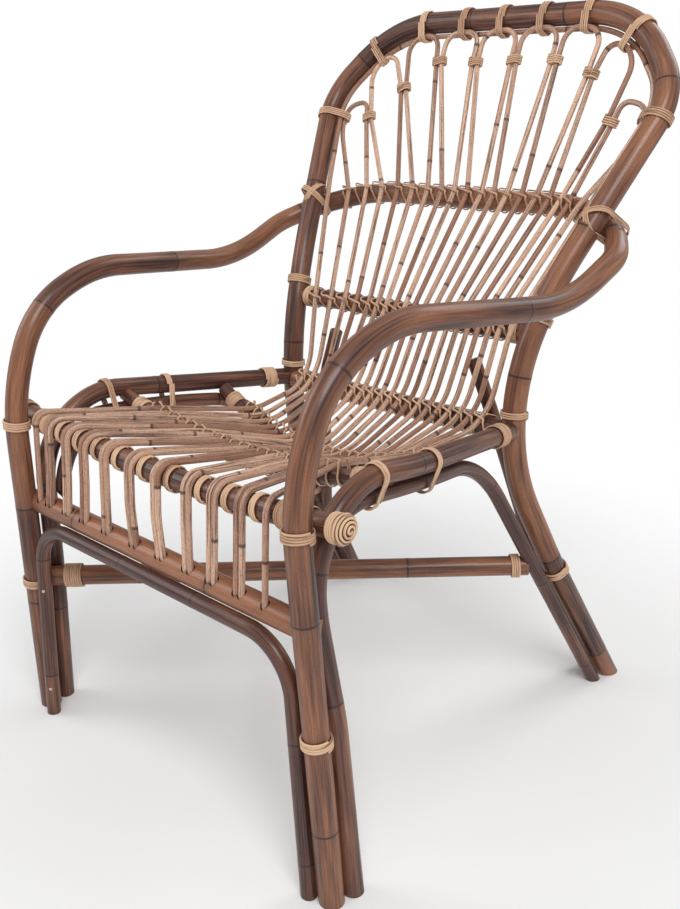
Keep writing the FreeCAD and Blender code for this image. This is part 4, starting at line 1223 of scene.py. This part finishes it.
class ArmchairSizes(bpy.types.PropertyGroup):
    """Thicknesses of the poles, strands and canes."""

    hoop: measure("Back hoop", "back hoop", 0.032)
    arm: measure("Arm hoop", "arm hoop", 0.03)
    side_rail: measure("Side rail", "seat's side rails", 0.026)
    side_arch: measure("Side arch", "side arches", 0.02)
    front_arch: measure("Front arch", "front arch", 0.02)
    front_rail: measure("Front rail", "front seat rail", 0.027)
    apron: measure("Apron", "front apron rail", 0.03)
    stretcher: measure("Stretcher", "stretchers", 0.028)
    middle_rail: measure("Middle rail", "middle back rail", 0.027)
    lower_rail: measure("Lower rail", "lower back rail", 0.03)
    cross_bar: measure("Cross bar", "bars under the seat", 0.02)
    brace: measure("Brace", "rear braces", 0.02)
    strand: measure("Strand", "sling's strands", 0.008)
    cane: measure("Split cane", "wound canes", 0.0025)
    pole_sides: faces("Pole sides", "pole", 32, 8)
    strand_sides: faces("Strand sides", "strand", 14, 6)
    cane_sides: faces("Cane sides", "wound cane", 8, 6)


class ArmchairFinish(bpy.types.PropertyGroup):
    """Colours of the finishes."""

    pole_dark: shade("Pole dark", "Darkest varnish", (0.026, 0.011, 0.01))
    pole_mid: shade("Pole middle", "Usual varnish", (0.125, 0.05, 0.036))
    pole_warm: shade("Pole warm", "Warm stretches", (0.225, 0.085, 0.045))
    pole_amber: shade("Pole amber", "Palest stretches", (0.4, 0.175, 0.085))
    pole_ring: shade("Joint ring", "Rings at the cane's joints", (0.03, 0.014, 0.011))
    strand: shade("Strand", "Usual peeled cane", (0.35, 0.165, 0.1))
    strand_pale: shade("Strand pale", "Palest peeled cane", (0.72, 0.46, 0.32))
    strand_dark: shade("Strand dark", "Streaks in the peeled cane", (0.085, 0.03, 0.021))
    strand_ring: shade("Strand joint", "Joints of the peeled cane", (0.05, 0.02, 0.013))
    cane: shade("Cane", "Palest split cane", (0.74, 0.49, 0.31))
    cane_tan: shade("Cane tan", "Usual split cane", (0.4, 0.2, 0.115))
    cane_dark: shade("Cane dark", "Stains on the split cane", (0.075, 0.03, 0.018))


class ARMCHAIR_OT_poles(bpy.types.Operator):
    """Bent poles, rails, bars and stretchers of varnished rattan"""

    bl_idname = "armchair.poles"
    bl_label = "Poles"

    def execute(self, context):
        chair = layout(context)
        s = chair.sizes
        hoop = (chair.hoop, s["hoop"])
        arm = (chair.arm, s["arm"])
        rails = ((chair.side_rail, s["side_rail"]), (mirrored(chair.side_rail), s["side_rail"]))
        arch = (chair.side_arch, s["side_arch"])
        # Name, centre line, thickness, poles that its ends butt on, seed and warmth of the varnish
        rows = [
            ("back_hoop", chair.hoop, s["hoop"], (), 11, 0.02),
            ("arm_hoop", chair.arm, s["arm"], (), 5, 0.08),
            ("front_arch", chair.front_arch, s["front_arch"], (), 7, -0.18),
            ("front_seat_rail", chair.front_rail, s["front_rail"], (), 13, 0.05),
            ("front_apron_rail", chair.apron, s["apron"], (arm,), 17, 0.3),
            ("middle_back_rail", chair.middle_rail, s["middle_rail"], (hoop,), 19, -0.02),
            ("lower_back_rail", chair.lower_rail, s["lower_rail"], (hoop,), 23, -0.02),
            ("seat_cross_bar_front", chair.front_bar, s["cross_bar"], rails, 29, 0.0),
            ("seat_cross_bar_rear", chair.rear_bar, s["cross_bar"], rails, 31, 0.0),
            ("stretcher_lower", chair.stretcher, s["stretcher"], (arm, arch), 37, 0.04),
            ("stretcher_upper", mirrored(chair.stretcher), s["stretcher"], (arm,), 41, 0.0),
        ]
        paired = (
            ("side_rail", chair.side_rail, s["side_rail"], (hoop,), 43, -0.02),
            ("side_arch", chair.side_arch, s["side_arch"], (), 47, -0.12),
            ("rear_brace", chair.brace, s["brace"], (), 53, -0.1),
        )
        for name, path, thick, hosts, seed, warmth in paired:
            rows.append((name + "_right", path, thick, hosts, seed, warmth))
            rows.append((name + "_left", mirrored(path), thick, hosts, seed + OTHER_SEED, warmth))
        for name, path, thick, hosts, seed, warmth in rows:
            label = "Varnished rattan " + name.replace("_", " ")
            finish = pole_material(label, context.scene.armchair_finish, warmth)
            stroke = grown_stroke(trimmed(path, hosts), thick, seed, *POLE_GROWTH)
            piece = swept("pole_" + name, [stroke], finish, context.scene.armchair_sizes.pole_sides)
            if min(p.z for p in path) < 0:
                sawn_at_floor(piece)
            if name == "front_apron_rail":
                self.drill(context, piece, chair)
            settle(piece, name)
        return {"FINISHED"}

    def drill(self, context, piece, chair):
        """Holes in the apron where the strands go in."""
        bm = bmesh.new()
        radius = chair.sizes["strand"] / 2 + HOLE_ROOM
        for path in chair.strands.values():
            for end, inner in ((path[0], path[DRILL_AIM]), (path[-1], path[-1 - DRILL_AIM])):
                up = (inner - end).normalized()
                turn = up.to_track_quat("Z", "Y").to_matrix().to_4x4()
                where = Matrix.Translation(end + up * DRILL_RISE) @ turn
                bmesh.ops.create_cone(bm, cap_ends=True, segments=DRILL_SIDES, radius1=radius, radius2=radius,
                                      depth=DRILL_LENGTH, matrix=where)
        mesh = bpy.data.meshes.new("drills")
        bm.to_mesh(mesh)
        bm.free()
        # The holes' walls take a near-black painted shade
        mesh.materials.append(hole_shade_material(context.scene.armchair_finish))
        drills = linked("drills", mesh)
        modifier = piece.modifiers.new("Drill", "BOOLEAN")
        modifier.object = drills
        modifier.operation = "DIFFERENCE"
        modifier.solver = "EXACT"
        modifier.material_mode = "TRANSFER"
        modifier.use_self = True
        old = piece.data
        drilled = plain_mesh(piece, old.name + "_drilled")
        piece.modifiers.clear()
        piece.data = drilled
        bpy.data.meshes.remove(old)
        bpy.data.objects.remove(drills)


class ARMCHAIR_OT_strands(bpy.types.Operator):
    """The sling's ten strands of peeled cane"""

    bl_idname = "armchair.strands"
    bl_label = "Strands"

    def execute(self, context):
        chair = layout(context)
        finish = strand_material(context.scene.armchair_finish)
        sides = context.scene.armchair_sizes.strand_sides
        for number, (name, path) in enumerate(chair.strands.items()):
            stroke = grown_stroke(path, chair.sizes["strand"], STRAND_SEED + 3 * number, *STRAND_GROWTH)
            settle(swept("strand_" + name, [stroke], finish, sides), name)
        return {"FINISHED"}


class ARMCHAIR_OT_lashings(bpy.types.Operator):
    """Close wraps of split cane round poles and round poles with strands"""

    bl_idname = "armchair.lashings"
    bl_label = "Lashings"

    def execute(self, context):
        chair = layout(context)
        finish = cane_material(context.scene.armchair_finish)
        sides = context.scene.armchair_sizes.cane_sides
        thick = LASHING_THICKNESS * chair.sizes["cane"]
        for number, (name, lines) in enumerate(self.pole_wraps(chair).items()):
            strokes = [wound_stroke(line, thick, 20 * number + index) for index, line in enumerate(lines)]
            strokes = on_both_sides(strokes)
            if name == "front_rail_bindings":
                lines = self.beside_pairs(chair)
                strokes += [wound_stroke(line, thick, PAIR_SEED + index) for index, line in enumerate(lines)]
            bind(name, strokes, finish, sides)
        lines = chair.crossed_wraps()
        strokes = [wound_stroke(line, thick, CROSSING_SEED + index) for index, line in enumerate(lines)]
        bind("arm_crossings", on_both_sides(strokes), finish, sides, in_cad=False)
        thick = chair.sizes["cane"]
        lines = self.hoop_wraps(chair)
        strokes = [wound_stroke(line, thick, HOOP_LASH_SEED + index) for index, line in enumerate(lines)]
        bind("hoop_lashings", strokes, finish, sides)
        lines = self.loop_wraps(chair)
        strokes = [wound_stroke(line, thick, LOOP_TIE_SEED + index) for index, line in enumerate(lines)]
        bind("loop_ties", strokes, finish, sides)
        return {"FINISHED"}

    def pole_wraps(self, chair):
        """Lines of the wraps round single poles and side arches, on the right side, under their names."""
        s = chair.sizes
        wrap = chair.wrap
        rail, arch, hoop, stretcher = chair.side_rail, chair.side_arch, chair.hoop, chair.stretcher
        run = (stretcher[-1] - stretcher[0]).normalized()
        front_end = stretcher[0] + run * STRETCHER_FRONT_WRAP
        rear_end = stretcher[-1] - run * STRETCHER_REAR_WRAP
        outer = chair.front_rail_x + s["arm"] / 2 + CLEARANCE + 3 * chair.pitch
        rail_spots = [place(x, chair.front_rail_depth, chair.front_rail_end)
                      for x in (outer, FRONT_RAIL_WRAP, outer + DOME_PLACE * chair.pitch)]
        dome_start, dome_way = spot_on(chair.front_rail, rail_spots[2])
        legs = [leg_point(chair.arm_foot, chair.arm_slope, height) for height in LEG_LASH_HEIGHTS]
        middle_end = chair.middle_rail[-1] - LEVEL * RAIL_END_WRAP
        arch_pair = [(rail, s["side_rail"]), (arch, s["side_arch"])]
        arch_spots = [place(ARCH_LASH_PLACE, depth, ARCH_LASH_HEIGHT) for depth in ARCH_LASH_DEPTHS]
        return {
            "front_rail_bindings": [
                wrap(chair.front_rail, rail_spots[0], s["front_rail"], LASH_TURNS),
                wrap(chair.front_rail, rail_spots[1], s["front_rail"], FRONT_RAIL_TURNS),
                chair.domed_end(dome_start, dome_way, s["front_rail"] / 2 + chair.half_cane)],
            "front_leg_lashings": [wrap(chair.arm, leg, s["arm"], LASH_TURNS) for leg in legs],
            "rear_leg_lashings": [wrap(hoop, point_at_height(hoop, REAR_LASH_HEIGHT), s["hoop"], LASH_TURNS)],
            "stretcher_bindings": [
                wrap(stretcher, front_end, s["stretcher"], 8),
                wrap(stretcher, rear_end, s["stretcher"], LASH_TURNS)],
            "rear_seat_bindings": [
                wrap(rail, place(*SIDE_RAIL_WRAP), s["side_rail"], 7),
                wrap(hoop, point_at_height(hoop, UPRIGHT_LASH_HEIGHT), s["hoop"], 3)],
            "middle_rail_bindings": [
                wrap(hoop, point_at_height(hoop, MIDDLE_LASH_HEIGHT), s["hoop"], LASH_TURNS),
                wrap(chair.middle_rail, middle_end, s["middle_rail"], LASH_TURNS)],
            "cross_bar_bindings": [
                wrap(chair.front_bar, place(*FRONT_BAR_WRAP), s["cross_bar"], 6),
                wrap(chair.rear_bar, place(*REAR_BAR_WRAP), s["cross_bar"], 6)],
            "side_arch_lashings": [
                chair.wrap_group(rail, spot, arch_pair, 3, ARCH_LASH_EASE) for spot in arch_spots],
        }

    def beside_pairs(self, chair):
        """A few turns round the front rail beside each pair of strands."""
        lines = []
        for x in FRONT_PLACES[1:-1]:
            height, _ = on_bow(x, FRONT_RAIL_HEIGHT, chair.front_rail_end, FRONT_RAIL_HALF)
            target = place(x + PAIR_WRAP, chair.front_rail_depth, height)
            lines.append(chair.wrap(chair.front_rail, target, chair.sizes["front_rail"], PAIR_TURNS))
        return lines

    def hoop_wraps(self, chair):
        """Turns round the hoop, the border strand and the top of each loop."""
        s = chair.sizes
        lines = []
        for number, (x, drop, _, _) in enumerate(LOOP_TOPS):
            members = [(chair.hoop, s["hoop"]), (chair.strands["border_strand"], s["strand"]),
                       (chair.strands["fan_loop_%d" % (number + 1)], s["strand"])]
            target = chair.on_back(x, chair.apex_height - drop)
            ease = HOOP_LASH_EASE
            if number in (0, len(LOOP_TOPS) - 1):
                target = place(math.copysign(HOOP_LASH_SIDE[0], x), *HOOP_LASH_SIDE[1:])
                ease = SIDE_LASH_EASE
            lines.append(chair.wrap_group(chair.hoop, target, members, LASH_TURNS, ease))
        return lines

    def loop_wraps(self, chair):
        """Turns round neighbouring loops where they touch."""
        lines = []
        for number, (x, height) in enumerate(LOOP_TIES, 1):
            pair = [(chair.strands["fan_loop_%d" % loop], chair.sizes["strand"])
                    for loop in (number, number + 1)]
            target = chair.on_back(x - TIE_PITCH / 2, height)
            lines.append(chair.wrap_group(pair[0][0], target, pair, LASH_TURNS, LOOP_TIE_EASE))
        return lines


class ARMCHAIR_OT_ties(bpy.types.Operator):
    """Canes that wind along the bars and cross over each strand"""

    bl_idname = "armchair.ties"
    bl_label = "Tie lines"

    def execute(self, context):
        chair = layout(context)
        s = chair.sizes
        finish = cane_material(context.scene.armchair_finish)
        sides = context.scene.armchair_sizes.cane_sides
        rows = (
            ("front_bar_ties", chair.front_bar, s["cross_bar"]),
            ("rear_bar_ties", chair.rear_bar, s["cross_bar"]),
            ("lower_rail_ties", chair.lower_rail, s["lower_rail"]),
            ("middle_rail_ties", chair.middle_rail, s["middle_rail"]),
            ("upper_rail_ties", chair.arm, s["arm"]),
        )
        for number, (name, path, thick) in enumerate(rows):
            contacts = [contact for contact in chair.contacts[number] if contact[0].x < RIGHTMOST_TIE]
            line = chair.tie_line(path, contacts, thick)
            stroke = wound_stroke(line, TIE_THICKNESS * s["cane"], TIE_SEED + number)
            bind(name, [stroke], finish, sides, TIE_FLAT)
        return {"FINISHED"}


class ARMCHAIR_OT_nails(bpy.types.Operator):
    """Small round nail heads on the front arch's left leg"""

    bl_idname = "armchair.nails"
    bl_label = "Nails"

    def execute(self, context):
        chair = layout(context)
        leg = [mirrored_point(p) for p in chair.front_arch if p.x > NAIL_BEYOND]
        spots = [min(leg, key=lambda p: abs(p.z - height)) for height in NAIL_HEIGHTS]
        reach = Vector(NAIL_SIDE) * (chair.sizes["front_arch"] / 2 - NAIL_SINK)
        mesh = bpy.data.meshes.new("nail_spots")
        mesh.from_pydata([spot + reach for spot in spots], [], [])
        tree, radius, finish = self.heads()
        inputs = {radius: NAIL_RADIUS, finish: nail_material()}
        settle(made_by(tree, inputs, "nail_heads", mesh), None)
        return {"FINISHED"}

    def heads(self):
        """A round nail head on each point of a mesh."""
        made = GeometryTree("Nail heads")
        made.socket("Geometry", "NodeSocketGeometry", "OUTPUT")
        made.socket("Spots", "NodeSocketGeometry")
        radius = made.socket("Radius", "NodeSocketFloat", default=NAIL_RADIUS)
        finish = made.socket("Finish", "NodeSocketMaterial")
        given = made.node("NodeGroupInput").outputs
        ball = {"Segments": 20, "Rings": 12, "Radius": given["Radius"]}
        head = made.output("Mesh", "GeometryNodeMeshUVSphere", ball)
        spots = {"Points": given["Spots"], "Instance": head}
        made.close(made.output("Instances", "GeometryNodeInstanceOnPoints", spots), given["Finish"])
        return made.tree, radius, finish


class ARMCHAIR_OT_stage(bpy.types.Operator):
    """Pale floor, soft lamps and the camera"""

    bl_idname = "armchair.stage"
    bl_label = "Stage"

    def execute(self, context):
        self.floor(context)
        self.light(context)
        self.camera(context)
        return {"FINISHED"}

    def floor(self, context):
        """A floor that fades to the background's white away from the chair."""
        bpy.ops.mesh.primitive_circle_add(vertices=96, radius=FLOOR_RADIUS, fill_type="NGON",
                                          location=(0, 0, -FLOOR_DROP))
        floor = context.object
        floor.name = "floor"
        make = Maker("Pale floor")
        spot = make.spot()
        cloud = make.noise(spot, (3.0, 3.0, 3.0))
        body = make.mix(cloud, (0.9, 0.9, 0.9), (0.93, 0.93, 0.93))
        seen = Value(make, make.output("Is Camera Ray", "ShaderNodeLightPath"))
        away = Value(make, make.output("Value", "ShaderNodeVectorMath", {0: spot}, operation="LENGTH"))
        white = seen * away.ramp(*FLOOR_FADE)
        floor.data.materials.append(make.finish(body, 0.8, cloud, 0.0001, specular=0.1, white=white))

    def light(self, context):
        """A soft room that looks plain white, and three round lamps."""
        world = bpy.data.worlds.new("Studio")
        context.scene.world = world
        world.use_nodes = True
        world.node_tree.nodes.clear()
        room = Nodes(world.node_tree)
        rays = room.node("ShaderNodeLightPath").outputs
        either = {0: rays["Is Camera Ray"], 1: rays["Is Transmission Ray"]}
        seen = room.output("Value", "ShaderNodeMath", either, operation="MAXIMUM")
        soft = room.output("Background", "ShaderNodeBackground", {"Color": WHITE, "Strength": ROOM_STRENGTH})
        white = room.output("Background", "ShaderNodeBackground", {"Color": WHITE, "Strength": 1.0})
        both = room.output("Shader", "ShaderNodeMixShader", {0: seen, 1: soft, 2: white})
        room.node("ShaderNodeOutputWorld", {"Surface": both})
        for name, spot, size, power in LAMPS:
            lamp = bpy.data.lights.new(name, "AREA")
            lamp.shape = "DISK"
            lamp.size = size
            lamp.energy = power
            item = linked(name, lamp)
            item.location = spot
            item.rotation_euler = (Vector(LAMP_AIM) - Vector(spot)).to_track_quat("-Z", "Y").to_euler()

    def camera(self, context):
        """The photograph's own view, solved from the chair's symmetry."""
        azimuth, elevation, roll = (math.radians(value) for value in VIEW_ANGLES)
        back = Vector((math.sin(azimuth) * math.cos(elevation), -math.cos(azimuth) * math.cos(elevation),
                       math.sin(elevation)))
        right = UP.cross(back).normalized()
        above = back.cross(right)
        turned = right * math.cos(roll) + above * math.sin(roll)
        raised = above * math.cos(roll) - right * math.sin(roll)
        data = bpy.data.cameras.new("camera")
        data.sensor_width = 36.0
        data.lens = FOCAL_PIXELS * data.sensor_width / PICTURE_HEIGHT
        data.shift_x = (PICTURE_WIDTH / 2 - PICTURE_CENTRE[0]) / PICTURE_HEIGHT
        data.shift_y = -(PICTURE_HEIGHT / 2 - PICTURE_CENTRE[1]) / PICTURE_HEIGHT
        camera = linked("camera", data)
        camera.matrix_world = Matrix((
            (turned.x, raised.x, back.x, VIEW_POINT[0]),
            (turned.y, raised.y, back.y, VIEW_POINT[1] - MID_DEPTH),
            (turned.z, raised.z, back.z, VIEW_POINT[2]),
            (0, 0, 0, 1)))
        context.scene.camera = camera
        context.scene.view_settings.view_transform = "Standard"


OPERATORS = (
    ARMCHAIR_OT_stage,
    ARMCHAIR_OT_poles,
    ARMCHAIR_OT_strands,
    ARMCHAIR_OT_lashings,
    ARMCHAIR_OT_ties,
    ARMCHAIR_OT_nails,
)


class ARMCHAIR_PT_panel(bpy.types.Panel):
    """Lists the chair's sizes, colours and steps"""

    bl_label = "Armchair"
    bl_idname = "ARMCHAIR_PT_panel"
    bl_space_type = "VIEW_3D"
    bl_region_type = "UI"
    bl_category = "Armchair"

    def draw(self, context):
        for group in (context.scene.armchair_sizes, context.scene.armchair_finish):
            column = self.layout.column(align=True)
            for name in group.__annotations__:
                column.prop(group, name)
        for operator in OPERATORS:
            self.layout.operator(operator.bl_idname)


CLASSES = (ArmchairSizes, ArmchairFinish, *OPERATORS, ARMCHAIR_PT_panel)


def register():
    for item in CLASSES:
        bpy.utils.register_class(item)
    bpy.types.Scene.armchair_sizes = PointerProperty(type=ArmchairSizes)
    bpy.types.Scene.armchair_finish = PointerProperty(type=ArmchairFinish)


def unregister():
    del bpy.types.Scene.armchair_finish
    del bpy.types.Scene.armchair_sizes
    for item in reversed(CLASSES):
        bpy.utils.unregister_class(item)


def main():
    register()
    for step in (bpy.ops.armchair.stage, bpy.ops.armchair.poles, bpy.ops.armchair.strands,
                 bpy.ops.armchair.lashings, bpy.ops.armchair.ties, bpy.ops.armchair.nails):
        step()


if __name__ == "__main__":
    main()
